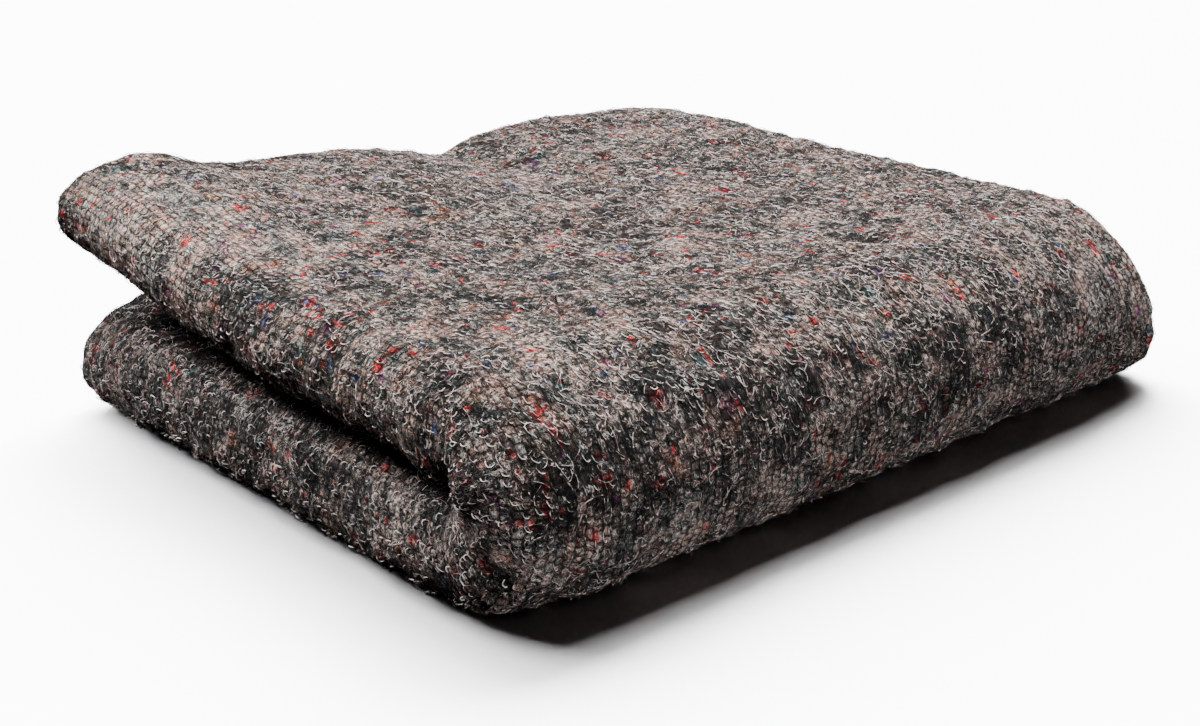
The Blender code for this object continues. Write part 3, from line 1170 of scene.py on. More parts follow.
    def clumped(self, bench: FinishBench, place: Any, colour: Any) -> Any:
        """Tints the wool blend with ragged clumps of other fibres.

        Args:
            bench: where the nodes go.
            place: the warped coordinates.
            colour: the wool blend.

        Returns:
            The tinted colour.
        """
        light = bench.put("ShaderNodeRGBToBW", {0: colour}).outputs[0]
        light = bench.sum_of("MULTIPLY_ADD", light, self.clump_gain, self.clump_least)
        light = bench.sum_of("MINIMUM", light, self.clump_most)
        for layer in self.clumps:
            moved = bench.vector("ADD", place, layer.offset)
            feeds = {"Vector": moved, "Scale": 1.0 / layer.size}
            cell = bench.put("ShaderNodeTexVoronoi", feeds, voronoi_dimensions="2D")
            chosen = bench.sum_of("LESS_THAN", bench.part(cell.outputs["Color"], 1), layer.wanted)
            grain = Grain(layer.size * self.clump_grain, rough=self.clump_rough)
            ragged = bench.noise(moved, grain, "2D").outputs["Fac"]
            edge = bench.sum_of("MULTIPLY", cell.outputs["Distance"], self.clump_reach)
            shown = bench.between(bench.sum_of("SUBTRACT", ragged, edge), *self.clump_edge)
            shown = bench.sum_of("MULTIPLY", shown, chosen)
            stops = self.vivid if layer.bright else self.muted
            fibre = bench.ramp(bench.part(cell.outputs["Color"], 0), stops, stepped=True)
            fibre = bench.scaled(fibre, light)
            colour = bench.mix(bench.sum_of("MULTIPLY", shown, layer.strength), colour, fibre)
        return colour

    def webbed(
        self, bench: FinishBench, place: Any, webs: Any, hue: Any, colour: Any, bump: Any
    ) -> tuple[Any, Any]:
        """Draws webs of bright filament over the felt.

        Args:
            bench: where the nodes go.
            place: the warped coordinates.
            webs: where the filament gathers.
            hue: which hue the fibres have there.
            colour: the felt's colour.
            bump: the felt's bump.

        Returns:
            The colour and the bump with the filament on them.
        """
        for layer in self.webs:
            moved = bench.vector("ADD", place, layer.offset)
            shown, own = self.filament.drawn(bench, moved, layer.curl, layer.width)
            glint = bench.between(bench.part(own, 2), *self.web_glint)
            filament = self.tinted(bench, glint, hue)
            shown = bench.sum_of("MULTIPLY", shown, bench.between(webs, *layer.gathers))
            colour = bench.mix(shown, colour, filament)
            bump = bench.raised(shown, self.web_height, bump)
        return colour, bump

    def make(self) -> bpy.types.Material:
        """Lays out the felt.

        Returns:
            The material.
        """
        bench = FinishBench("recycled_felt")
        place = bench.put("ShaderNodeAttribute", attribute_name=CLOTH_PLACE).outputs["Vector"]
        drift = bench.noise(place, self.drift, "2D").outputs["Color"]
        warped = bench.vector("ADD", place, bench.scaled(drift, self.drift_reach))
        broad = bench.noise(warped, self.broad, "2D").outputs
        close = bench.noise(warped, self.close, "2D").outputs
        cloud = bench.noise(place, self.cloud, "2D").outputs
        blend_and_light = bench.put("ShaderNodeAttribute", attribute_name=FELT_BLEND_AND_LIGHT).outputs["Vector"]
        # The blend's lighter and more webbed places, with painted light and shade among them, and
        # the painted shade that dulls the front fold.
        lighter, webbed, dull = bench.put("ShaderNodeSeparateXYZ", {0: blend_and_light}).outputs
        puff, own = self.puffs(bench, place)
        hue = bench.sum_of("MULTIPLY", bench.part(close["Color"], 1), self.hue_turns)
        hue = bench.sum_of("MULTIPLY_ADD", bench.part(own, 1), self.puff_hue, hue)
        tone = bench.between(broad["Fac"], *self.broad_tone)
        tone = bench.sum_of("ADD", tone, bench.between(cloud["Fac"], *self.cloud_tone))
        tone = bench.sum_of("ADD", tone, bench.between(close["Fac"], *self.close_tone))
        tone = bench.sum_of("MULTIPLY_ADD", bench.part(own, 0), self.puff_tone, tone)
        tone = bench.sum_of("ADD", tone, lighter)
        regular = bench.between(bench.part(broad["Color"], 1), *self.puff_regular)
        bump = bench.raised(bench.sum_of("MULTIPLY", puff, regular), self.puff_height)
        light, bump = self.wool_blend(bench, warped, tone, bump)
        colour = self.tinted(bench, bench.part(light, 0), hue)
        colour = self.clumped(bench, warped, colour)
        webs = bench.sum_of("ADD", bench.part(broad["Color"], 2), webbed)
        colour, bump = self.webbed(bench, warped, webs, hue, colour, bump)
        cast = bench.ramp(bench.part(broad["Color"], 0), self.casts)
        colour = bench.scaled(bench.mix(1.0, colour, cast, "MULTIPLY"), 2.0)
        # The painted shade that dulls the front fold's colour.
        grey = bench.put("ShaderNodeRGBToBW", {0: colour}).outputs[0]
        colour = bench.mix(dull, colour, grey)
        # Painted shade in the hollows between the puffs, multiplied into the felt's colour.
        shade = bench.between(puff, *self.puff_shade)
        shade = bench.sum_of("MULTIPLY_ADD", shade, regular, 1.0)
        return bench.finish(
            Base_Color=bench.scaled(colour, shade),
            Roughness=bench.between(tone, *self.rough),
            Normal=bump,
            Specular_IOR_Level=self.specular,
            Sheen_Weight=self.sheen,
            Sheen_Roughness=self.sheen_rough,
        )


@dataclass(frozen=True)
class FibreSurface:
    """What every fine fibre has: soft fluff, and a little shine."""

    fluff: Grain
    height: float
    rough: Spread
    specular: float
    sheen: float = 0.05

    def finish(self, bench: FinishBench, place: Any, colour: Any) -> bpy.types.Material:
        """Gives a colour that surface.

        Args:
            bench: where the nodes go.
            place: the coordinates of the fluff.
            colour: the fibre's colour.

        Returns:
            The material.
        """
        fluff = bench.noise(place, self.fluff).outputs["Fac"]
        return bench.finish(
            Base_Color=colour,
            Roughness=bench.between(fluff, *self.rough),
            Normal=bench.raised(fluff, self.height),
            Specular_IOR_Level=self.specular,
            Sheen_Weight=self.sheen,
        )


@dataclass(frozen=True)
class YarnFinish:
    """Pale filament yarn, whose brightness comes and goes by a noise over it."""

    name: str = "bonding_yarn"
    # A noise over the yarn, where it leaves the yarn dark, middling and bright, and those shades.
    bright_noise: Grain = Grain(0.0040, 2.0, 0.7)
    bright_steps: Triple = (0.38, 0.48, 0.56)
    shades: tuple[Colour, ...] = (
        (0.036, 0.034, 0.034, 1.0),
        (0.150, 0.140, 0.140, 1.0),
        (0.900, 0.860, 0.860, 1.0),
    )
    # What tints the yarn, by a broad drift over it.
    drift: Grain = Grain(0.0060)
    tints: Stops = (
        (0.36, (0.470, 0.505, 0.510, 1.0)),
        (0.46, (0.560, 0.490, 0.470, 1.0)),
        (0.54, (0.600, 0.470, 0.455, 1.0)),
        (0.62, (0.550, 0.500, 0.445, 1.0)),
    )
    surface: FibreSurface = FibreSurface(
        Grain(0.0003, 2.0, 0.6), 0.00004, (0.3, 0.7, 0.35, 0.60), 0.80
    )

    def make(self) -> bpy.types.Material:
        """Lays out the yarn.

        Returns:
            The material.
        """
        bench = FinishBench(self.name)
        place = bench.object_place()
        tone = bench.noise(place, self.bright_noise).outputs["Fac"]
        shade = bench.ramp(tone, tuple(zip(self.bright_steps, self.shades)))
        drift = bench.noise(place, self.drift).outputs["Color"]
        tint = bench.ramp(bench.part(drift, 1), self.tints)
        colour = bench.scaled(bench.mix(1.0, shade, tint, "MULTIPLY"), 2.0)
        return self.surface.finish(bench, place, colour)


@dataclass(frozen=True)
class FibreFinish:
    """Loose fibres of many garments: mostly pale and grey, some dark, a few coloured."""

    patch: Grain = Grain(0.0030)
    stops: Stops = (
        (0.00, (0.014, 0.012, 0.013, 1.0)),
        (0.36, (0.070, 0.055, 0.050, 1.0)),
        (0.43, (0.240, 0.195, 0.180, 1.0)),
        (0.48, (0.850, 0.720, 0.690, 1.0)),
        (0.53, (0.620, 0.560, 0.550, 1.0)),
        (0.58, (0.280, 0.225, 0.205, 1.0)),
        (0.64, (0.260, 0.105, 0.085, 1.0)),
        (0.70, (0.480, 0.040, 0.035, 1.0)),
        (0.76, (0.050, 0.060, 0.130, 1.0)),
    )
    surface: FibreSurface = FibreSurface(
        Grain(0.0004, 2.0, 0.6), 0.00003, (0.3, 0.7, 0.40, 0.65), 0.60
    )

    def make(self) -> bpy.types.Material:
        """Lays out the fibres.

        Returns:
            The material.
        """
        bench = FinishBench("loose_fibres")
        place = bench.object_place()
        pick = bench.noise(place, self.patch).outputs["Fac"]
        return self.surface.finish(bench, place, bench.ramp(pick, self.stops, stepped=True))


@dataclass(frozen=True)
class FloorFinish:
    """A plain pale studio floor."""

    colour: Colour = (0.86, 0.86, 0.87, 1.0)
    cloud: Grain = Grain(0.6, 2.0)
    cloud_depth: float = 0.015
    rough: float = 0.75
    specular: float = 0.20

    def make(self) -> bpy.types.Material:
        """Lays out the floor.

        Returns:
            The material.
        """
        bench = FinishBench("studio_floor")
        cloud = bench.noise(bench.object_place(), self.cloud).outputs["Fac"]
        low = tuple((1.0 - self.cloud_depth) * part for part in self.colour[:3]) + (1.0,)
        colour = bench.mix(cloud, low, self.colour)
        return bench.finish(
            Base_Color=colour, Roughness=self.rough, Specular_IOR_Level=self.specular
        )


# ---- the felt ------------------------------------------------------------------------


def stations(runs: Table) -> np.ndarray:
    """Even places along a row of runs, which follow each other.

    Args:
        runs: where each run starts and ends, and about how far apart its places are.

    Returns:
        The places, from the first run's start to the last one's end.
    """
    places = []
    for start, end, pitch in runs:
        count = max(1, round(abs(end - start) / pitch))
        places += [start + (end - start) * step / count for step in range(count)]
    return np.array(places + [runs[-1][1]])


@dataclass(frozen=True)
class FeltBlendAndPaintedLight:
    """How the felt's blend and its painted light and shade differ from place to place, in true
    lengths of its outer face.
    """

    # The larger pale and dark places, partly the felt's own patches and partly painted light and
    # shade: painted light on the upper lobe's left side and low on the front fold, painted shade
    # high on the front fold and at its crumpled near corner. Across, along, reach, and how much
    # lighter the felt and how much more webbed it is there.
    places: Table = (
        (0.012, -0.156, 0.022, 0.02, 0.10),
        (0.150, -0.114, 0.028, 0.03, 0.14),
        (-0.015, -0.300, 0.050, 0.16, 0.02),
        (-0.026, -0.352, 0.034, 0.22, 0.02),
        (-0.030, 0.060, 0.045, 0.03, 0.00),
        (0.070, -0.046, 0.024, 0.05, 0.04),
        (0.045, -0.092, 0.022, 0.05, 0.06),
        (-0.010, -0.040, 0.018, 0.07, 0.04),
        (0.092, -0.072, 0.024, -0.08, -0.05),
        (0.265, -0.103, 0.030, 0.03, 0.12),
        (0.325, -0.078, 0.025, 0.17, 0.04),
        (0.060, -0.042, 0.012, 0.05, 0.10),
        (-0.043, 0.110, 0.020, 0.00, 0.04),
        (-0.034, 0.160, 0.060, -0.03, -0.02),
        (0.026, -0.334, 0.030, 0.03, 0.06),
        (0.022, -0.112, 0.022, 0.05, 0.06),
        (0.185, -0.238, 0.020, 0.04, 0.08),
        (-0.043, 0.213, 0.025, 0.04, 0.00),
        (0.166, -0.070, 0.018, -0.10, -0.10),
        (0.200, -0.066, 0.018, -0.03, -0.08),
        (0.103, -0.305, 0.018, -0.08, -0.10),
        (0.000, -0.062, 0.016, -0.09, -0.06),
        (0.050, -0.078, 0.022, -0.03, -0.08),
        (0.238, -0.291, 0.018, -0.07, -0.06),
        (-0.016, -0.190, 0.014, -0.06, -0.06),
        (-0.019, -0.243, 0.016, -0.06, -0.06),
        (0.233, -0.113, 0.012, -0.05, 0.00),
        (0.229, -0.078, 0.014, -0.06, -0.04),
        (0.118, -0.086, 0.022, -0.02, -0.06),
        (-0.013, -0.031, 0.0055, -0.26, -0.25),
        (-0.036, -0.062, 0.0060, -0.18, -0.20),
    )
    # Bands across the whole cloth, painted shade on the front fold's upper part and painted light
    # on its lower part: along, reach, and how much lighter the felt is there.
    painted_light_bands: Table = (
        (-0.074, 0.011, -0.050),
        (-0.043, 0.018, 0.095),
    )
    # Where the front fold, which faces away from the light, is painted duller as shade, over what
    # length that comes on, and how dull it is.
    shade_dull_from: float = -0.100
    shade_dull_over: float = 0.022
    shade_dull: float = 0.28
    # The mouth between the lobes: where its lower and its upper lip begin across the cloth, over
    # what length they turn in, from where on along the cloth they lie, and how much painted shadow
    # of the upper lobe darkens the lower lip and how much painted light lightens the upper one.
    lower_lip: float = -0.044
    upper_lip: float = -0.034
    lip_over: float = 0.014
    lower_past: float = 0.0
    upper_past: float = -0.120
    lower_lip_painted_shadow: float = 0.26
    upper_lip_painted_light: float = 0.05

    def at(self, across: np.ndarray, along: np.ndarray) -> np.ndarray:
        """How the blend and the painted light and shade differ at places of the cloth.

        Args:
            across: true lengths across the cloth.
            along: true lengths along it.

        Returns:
            Rows of how much lighter, how much more webbed, and how dull.
        """
        blend_and_light = np.zeros((*across.shape, 3))
        # Painted shade and light in bands across the front fold.
        for centre, reach, lighter in self.painted_light_bands:
            blend_and_light[..., 0] += lighter * np.exp(-(((along - centre) / reach) ** 2))
        lower = smooth_step((self.lower_lip - across) / self.lip_over) * (along > self.lower_past)
        upper = smooth_step((self.upper_lip - across) / self.lip_over) * (along < self.upper_past)
        # Painted shadow on the lower lip, under the upper lobe, and painted light on the upper
        # lip.
        blend_and_light[..., 0] += self.upper_lip_painted_light * upper - self.lower_lip_painted_shadow * lower
        # Painted shade: the front fold's colour greyed where it faces away from the light.
        blend_and_light[..., 2] = self.shade_dull * smooth_step((along - self.shade_dull_from) / self.shade_dull_over)
        # Paler and darker places, some of them painted light and shade.
        for centre_x, centre_y, reach, lighter, webbed in self.places:
            distance = (across - centre_x) ** 2 + (along - centre_y) ** 2
            near = np.exp(-distance / (reach * reach))[..., None]
            blend_and_light += near * np.array((lighter, webbed, 0.0))
        return blend_and_light


@dataclass
class FeltSheet:
    """The felt as one closed sheet, fine where it shows and coarse inside the pack."""

    cloth: FoldedCloth
    finish: FeltFinish = FeltFinish()
    blend_and_light: FeltBlendAndPaintedLight = FeltBlendAndPaintedLight()
    name: str = "felt_sheet"
    # How far apart the mesh's places are on top, at the sides and inside the pack, and how
    # deep into the mouth the side's pitch goes.
    shown_pitch: float = 0.0048
    side_pitch: float = 0.0060
    hidden_pitch: float = 0.0170
    wedge_reach: float = 0.160
    # How many steps the mesh has round each turn.
    left_steps: int = 20
    right_steps: int = 8
    front_steps: int = 44
    hidden_left_steps: int = 9
    hidden_front_steps: int = 12
    flap_steps: int = 6

    def columns(self) -> np.ndarray:
        """Spaces the mesh out across the flat cloth.

        Returns:
            The places, from one raw edge to the other.
        """
        left, right = self.cloth.plan.left, self.cloth.plan.right
        far_left = self.cloth.plan.far_left
        far_turn = 2 * right.line + right.turn - left.line
        far_right = 2 * right.line + right.turn - far_left
        wedge = left.end - self.wedge_reach
        runs = (
            (far_left, wedge, self.hidden_pitch),
            (wedge, left.end, self.side_pitch),
            (left.end, left.line, left.turn / self.left_steps),
            (left.line, right.line, self.shown_pitch),
            (right.line, right.end, right.turn / self.right_steps),
            (right.end, far_turn, self.hidden_pitch),
            (far_turn, far_turn + left.turn, left.turn / self.hidden_left_steps),
            (far_turn + left.turn, far_right, self.hidden_pitch),
        )
        return stations(runs)

    def rows(self) -> np.ndarray:
        """Spaces the mesh out along the flat cloth.

        Returns:
            The places, from one raw edge to the other.
        """
        plan = self.cloth.plan
        front, low, high = plan.front, plan.lower_back, plan.upper_back
        hidden_step = front.turn / self.hidden_front_steps
        flap_step = low.turn / self.flap_steps
        over, under = 2 * high.line - high.turn, 2 * low.line + low.turn
        runs = (
            (over - low.line, over - front.line, self.hidden_pitch),
            (over - front.line, over - front.end, hidden_step),
            (over - front.end, high.end, self.hidden_pitch),
            (high.end, high.line, flap_step),
            (high.line, front.end, self.shown_pitch),
            (front.end, front.line, front.turn / self.front_steps),
            (front.line, low.line, self.side_pitch),
            (low.line, low.end, flap_step),
            (low.end, under - front.line, self.hidden_pitch),
            (under - front.line, under - front.end, hidden_step),
            (under - front.end, under - high.line, self.hidden_pitch),
        )
        return stations(runs)

    def faces(self, shape: tuple[int, int]) -> list[list[int]]:
        """The faces of a closed sheet: its outer face, its inner face and its raw edges.

        Args:
            shape: how many places there are across and along.

        Returns:
            The corners of each face.
        """
        outer = np.arange(shape[0] * shape[1]).reshape(shape)
        found = []
        for grid, winding in ((outer, 1), (outer + outer.size, -1)):
            corners = (grid[:-1, :-1], grid[:-1, 1:], grid[1:, 1:], grid[1:, :-1])
            found.append(np.stack(corners, axis=-1).reshape(-1, 4)[:, ::winding])
        rim = np.concatenate((outer[:, 0], outer[-1, 1:], outer[-2::-1, -1], outer[0, -2:0:-1]))
        ahead = np.roll(rim, -1)
        found.append(np.stack((rim, ahead, ahead + outer.size, rim + outer.size), axis=-1))
        return np.concatenate(found).tolist()

    def build(self) -> bpy.types.Object:
        """Builds the sheet, with its own coordinates, and its blend with its painted light and
        shade, as attributes.

        Returns:
            The sheet.
        """
        across, along = np.meshgrid(self.columns(), self.rows(), indexing="ij")
        long_x, long_y = self.cloth.true_lengths(across, along)
        points, places = [], []
        for height in (0.0, self.cloth.plan.thickness):
            level = np.full_like(across, height)
            points.append(self.cloth.place(across, along, level).reshape(-1, 3))
            places.append(np.stack((long_x, long_y, level), axis=-1).reshape(-1, 3))
        mesh = bpy.data.meshes.new(self.name)
        mesh.from_pydata(np.concatenate(points).tolist(), [], self.faces(across.shape))
        mesh.shade_smooth()
        mesh.materials.append(self.finish.make())
        flat = np.concatenate(places)
        blend_and_light = self.blend_and_light.at(flat[:, 0], flat[:, 1])
        for name, values in ((CLOTH_PLACE, flat), (FELT_BLEND_AND_LIGHT, blend_and_light)):
            attribute = mesh.attributes.new(name, "FLOAT_VECTOR", "POINT")
            attribute.data.foreach_set("vector", values.astype(np.float32).ravel())
        corners = np.empty(len(mesh.loops), np.int32)
        mesh.loops.foreach_get("vertex_index", corners)
        mesh.uv_layers.new(name="cloth").data.foreach_set(
            "uv", flat[corners, :2].astype(np.float32).ravel()
        )
        return placed(self.name, mesh)


# ---- yarn and fibres on the felt -----------------------------------------------------


@dataclass(frozen=True)
class Patch:
    """A rectangle of the flat cloth, in true lengths of its outer face."""

    left: float
    right: float
    back: float
    front: float

    @property
    def width(self) -> float:
        """Its size across the cloth."""
        return self.right - self.left

    @property
    def length(self) -> float:
        """Its size along the cloth."""
        return self.front - self.back

    @property
    def middle(self) -> np.ndarray:
        """The middle of the rectangle."""
        return np.array(((self.left + self.right) / 2, (self.back + self.front) / 2, 0.0))


class TreeBench(NodeBench):
    """Builds one Geometry Nodes tree with named inputs, and runs it on an empty mesh."""

    def __init__(self, name: str, inputs: dict[str, Any]) -> None:
        """Starts a tree.

        Args:
            name: the tree's name.
            inputs: each named input and its value.
        """
        super().__init__(bpy.data.node_groups.new(name, "GeometryNodeTree"))
        kinds = {
            float: "NodeSocketFloat",
            int: "NodeSocketInt",
            bpy.types.Material: "NodeSocketMaterial",
            bpy.types.Object: "NodeSocketObject",
        }
        face = self.tree.interface
        face.new_socket(name="Geometry", in_out="INPUT", socket_type="NodeSocketGeometry")
        face.new_socket(name="Geometry", in_out="OUTPUT", socket_type="NodeSocketGeometry")
        self.values: dict[str, Any] = {}
        for label, value in inputs.items():
            kind = next(kinds[known] for known in kinds if isinstance(value, known))
            socket = face.new_socket(name=label, in_out="INPUT", socket_type=kind)
            self.values[socket.identifier] = value
        self.given = self.put("NodeGroupInput").outputs

    def random(self, low: Any, high: Any, step: int = 0, number: Any = None) -> Any:
        """A seeded random value, or vector, for each element.

        Args:
            low: the least value.
            high: the greatest.
            step: how far its seed is from the tree's own seed.
            number: what tells the elements apart, or None for their own numbers.

        Returns:
            The value socket.
        """
        kind = "FLOAT" if isinstance(low, float) else "FLOAT_VECTOR"
        node = self.put("FunctionNodeRandomValue", data_type=kind)
        shown = [socket for socket in node.inputs if socket.enabled]
        for socket, value in zip(shown, (low, high)):
            self.feed(socket, value)
        seed = self.given["Seed"]
        self.feed(node.inputs["Seed"], self.sum_of("ADD", seed, step) if step else seed)
        if number is not None:
            self.feed(node.inputs["ID"], number)
        return next(socket for socket in node.outputs if socket.enabled)

    def vector_of(self, x: Any, y: Any, z: Any) -> Any:
        """Three numbers made a vector."""
        return self.put("ShaderNodeCombineXYZ", {0: x, 1: y, 2: z}).outputs[0]

    def grid(self, wales: Any, courses: Any) -> Any:
        """A flat grid of the tree's own width and length.

        Args:
            wales: how many points it has across.
            courses: how many it has along.

        Returns:
            The grid's mesh.
        """
        feeds = {"Size X": self.given["Width"], "Size Y": self.given["Length"]}
        feeds |= {"Vertices X": wales, "Vertices Y": courses}
        return self.put("GeometryNodeMeshGrid", feeds).outputs["Mesh"]

    def moved(self, geometry: Any, offset: Any) -> Any:
        """The geometry with each of its points moved by an offset."""
        feeds = {"Geometry": geometry, "Offset": offset}
        return self.put("GeometryNodeSetPosition", feeds).outputs["Geometry"]

    def tube(self, line: Any, radius: Any) -> Any:
        """Makes a closed tube of three sides along each line.

        Args:
            line: the lines.
            radius: the tube's radius.

        Returns:
            The tubes' mesh.
        """
        feeds = {"Resolution": 3, "Radius": radius}
        ring = self.put("GeometryNodeCurvePrimitiveCircle", feeds).outputs["Curve"]
        feeds = {"Curve": line, "Profile Curve": ring, "Fill Caps": True}
        return self.put("GeometryNodeCurveToMesh", feeds).outputs["Mesh"]

    def scattered(self, instance: Any, points: Any, turn: Any, size: Any, kept: Any = True) -> Any:
        """Sets a copy of one thing on each point.

        Args:
            instance: the thing.
            points: where the copies stand.
            turn: each copy's angles.
            size: each copy's size.
            kept: which points get one.

        Returns:
            The copies' own geometry.
        """
        spin = self.put("FunctionNodeEulerToRotation", {"Euler": turn}).outputs["Rotation"]
        feeds = {"Points": points, "Selection": kept, "Instance": instance}
        feeds |= {"Rotation": spin, "Scale": size}
        copies = self.put("GeometryNodeInstanceOnPoints", feeds).outputs["Instances"]
        return self.put("GeometryNodeRealizeInstances", {"Geometry": copies}).outputs["Geometry"]

    def bake(self, name: str, geometry: Any) -> bpy.types.Mesh:
        """Ends the tree, runs it and keeps the result as a plain mesh.

        Args:
            name: the mesh's name.
            geometry: the socket with the final geometry.

        Returns:
            The mesh, on the flat cloth.
        """
        whole = self.put("GeometryNodeRealizeInstances", {"Geometry": geometry})
        feeds = {"Geometry": whole.outputs["Geometry"], "Material": self.given["Material"]}
        dressed = self.put("GeometryNodeSetMaterial", feeds).outputs["Geometry"]
        self.put("NodeGroupOutput", {"Geometry": dressed})
        carrier = placed(name + "_carrier", bpy.data.meshes.new(name + "_carrier"))
        modifier = carrier.modifiers.new(name, "NODES")
        modifier.node_group = self.tree
        for identifier, value in self.values.items():
            modifier[identifier] = value
        graph = bpy.context.evaluated_depsgraph_get()
        mesh = bpy.data.meshes.new_from_object(carrier.evaluated_get(graph), depsgraph=graph)
        mesh.name = name
        carrier.modifiers.remove(modifier)
        bpy.data.objects.remove(carrier, do_unlink=True)
        return mesh


def lay_on_pack(mesh: bpy.types.Mesh, patch: Patch, cloth: FoldedCloth) -> bpy.types.Object:
    """Folds a flat mesh with the cloth that it lies on.

    Args:
        mesh: what was made on the flat cloth, round the patch's middle.
        patch: the rectangle of cloth that it lies on.
        cloth: how the cloth is folded.

    Returns:
        The object, in its place on the pack.
    """
    flat = np.empty(len(mesh.vertices) * 3, np.float32)
    mesh.vertices.foreach_get("co", flat)
    points = cloth.lay(flat.reshape(-1, 3).astype(float) + patch.middle)
    mesh.vertices.foreach_set("co", points.astype(np.float32).ravel())
    mesh.shade_smooth()
    mesh.update()
    return placed(mesh.name, mesh)


@dataclass
class YarnStitches:
    """The bonding stitches of one patch: a hooked run of fine yarn in each cell."""

    name: str
    patch: Patch
    cloth: FoldedCloth
    material: bpy.types.Material
    share: float
    seed: int
    wale: float = WALE
    course: float = COURSE
    radius: float = 0.00018
    # How far a stitch is off its place and turned, and the least and the greatest size of
    # one, across, along and up.
    slack: float = 0.00035
    turn: float = 0.35
    least: Triple = (0.70, 0.70, 0.60)
    greatest: Triple = (1.15, 1.15, 1.30)
    # How far the yarn wanders off its path, and how many times in a metre.
    wander: float = 0.0008
    wander_scale: float = 520.0
    # The yarn's path over one cell: shares of the cell across and along, and height.
    path: Table = (
        (0.00, -0.44, -0.00025),
        (-0.06, -0.16, 0.00035),
        (0.00, 0.14, 0.00048),
        (0.15, 0.36, 0.00055),
        (0.42, 0.42, 0.00040),
        (0.68, 0.26, -0.00025),
    )

    def fitted(self) -> tuple[Patch, int, int]:
        """Moves the patch onto the stitches' own grid.

        Returns:
            The patch, with its counts of stitches across and along.
        """
        across = round(self.patch.width / self.wale)
        along = round(self.patch.length / self.course)
        # An even column, so that every second column of the cloth is the one that's staggered.
        left = round(self.patch.left / self.wale / 2) * 2 * self.wale
        back = round(self.patch.back / self.course) * self.course
        right, front = left + (across - 1) * self.wale, back + (along - 1) * self.course
        return Patch(left, right, back, front), across, along

    def hook(self) -> bpy.types.Object:
        """Draws the yarn's path over one cell.

        Returns:
            The path, as a line of points.
        """
        points = [(x * self.wale, y * self.course, z) for x, y, z in self.path]
        edges = [(step, step + 1) for step in range(len(points) - 1)]
        mesh = bpy.data.meshes.new(self.name + "_hook")
        mesh.from_pydata(points, edges, [])
        return bpy.data.objects.new(mesh.name, mesh)

    def cells(self, bench: TreeBench) -> Any:
        """Sets out the stitches, every second column half a course further along.

        Args:
            bench: where the nodes go.

        Returns:
            A point for each stitch.
        """
        given = bench.given
        number = bench.put("GeometryNodeInputIndex").outputs["Index"]
        column = bench.sum_of("FLOOR", bench.sum_of("DIVIDE", number, given["Courses"]))
        odd = bench.sum_of("MODULO", column, 2.0)
        half = bench.sum_of("MULTIPLY", given["Course"], 0.5)
        stagger = bench.vector_of(0.0, bench.sum_of("MULTIPLY", odd, half), 0.0)
        slack = self.slack
        loose = bench.random((-slack, -slack, -slack), (slack, slack, 0.0))
        grid = bench.grid(given["Wales"], given["Courses"])
        return bench.moved(grid, bench.vector("ADD", stagger, loose))

    def yarn(self, bench: TreeBench) -> Any:
        """Makes the yarn of one stitch.

        Args:
            bench: where the nodes go.

        Returns:
            The yarn's geometry.
        """
        info = bench.put("GeometryNodeObjectInfo", {"Object": bench.given["Hook"]})
        line = bench.put("GeometryNodeMeshToCurve", {"Mesh": info.outputs["Geometry"]})
        return bench.tube(line.outputs["Curve"], bench.given["Yarn Radius"])

    def build(self) -> bpy.types.Object:
        """Builds the stitches, and folds them with the cloth.

        Returns:
            The piece.
        """
        hook = self.hook()
        patch, wales, courses = self.fitted()
        inputs = {
            "Width": patch.width,
            "Length": patch.length,
            "Wales": wales,
            "Courses": courses,
            "Course": self.course,
            "Yarn Radius": self.radius,
            "Share Kept": self.share,
            "Wander": self.wander,
            "Seed": self.seed,
            "Hook": hook,
            "Material": self.material,
        }
        bench = TreeBench(self.name, inputs)
        given = bench.given
        feeds = {"A": bench.random(0.0, 1.0, step=1), "B": given["Share Kept"]}
        kept = bench.put("FunctionNodeCompare", feeds, operation="LESS_THAN").outputs["Result"]
        turn = bench.random((0.0, 0.0, -self.turn), (0.0, 0.0, self.turn))
        size = bench.random(self.least, self.greatest)
        whole = bench.scattered(self.yarn(bench), self.cells(bench), turn, size, kept)
        curl = bench.put("ShaderNodeTexNoise", {"Scale": self.wander_scale, "Detail": 1.0})
        centred = bench.vector("SUBTRACT", curl.outputs["Color"], MIDDLE)
        spread = bench.vector_of(given["Wander"], given["Wander"], 0.0)
        bent = bench.moved(whole, bench.vector("MULTIPLY", centred, spread))
        mesh = bench.bake(self.name, bent)
        bpy.data.objects.remove(hook, do_unlink=True)
        return lay_on_pack(mesh, patch, self.cloth)


class FibreLie(Enum):
    """How loose fibres lie on the felt, by the names of their pieces."""

    CURLED = "curls"
    STANDING = "fuzz"


@dataclass(frozen=True)
class FibreKind:
    """One kind of loose fibre: its sizes, how far it curls and rises, and its first seed.

    The turns are the most that a fibre curls round, in radians, either way.
    """

    lie: FibreLie
    length: float
    radius: float
    points: int
    curl: float
    lift: float
    turns: float
    seed: int


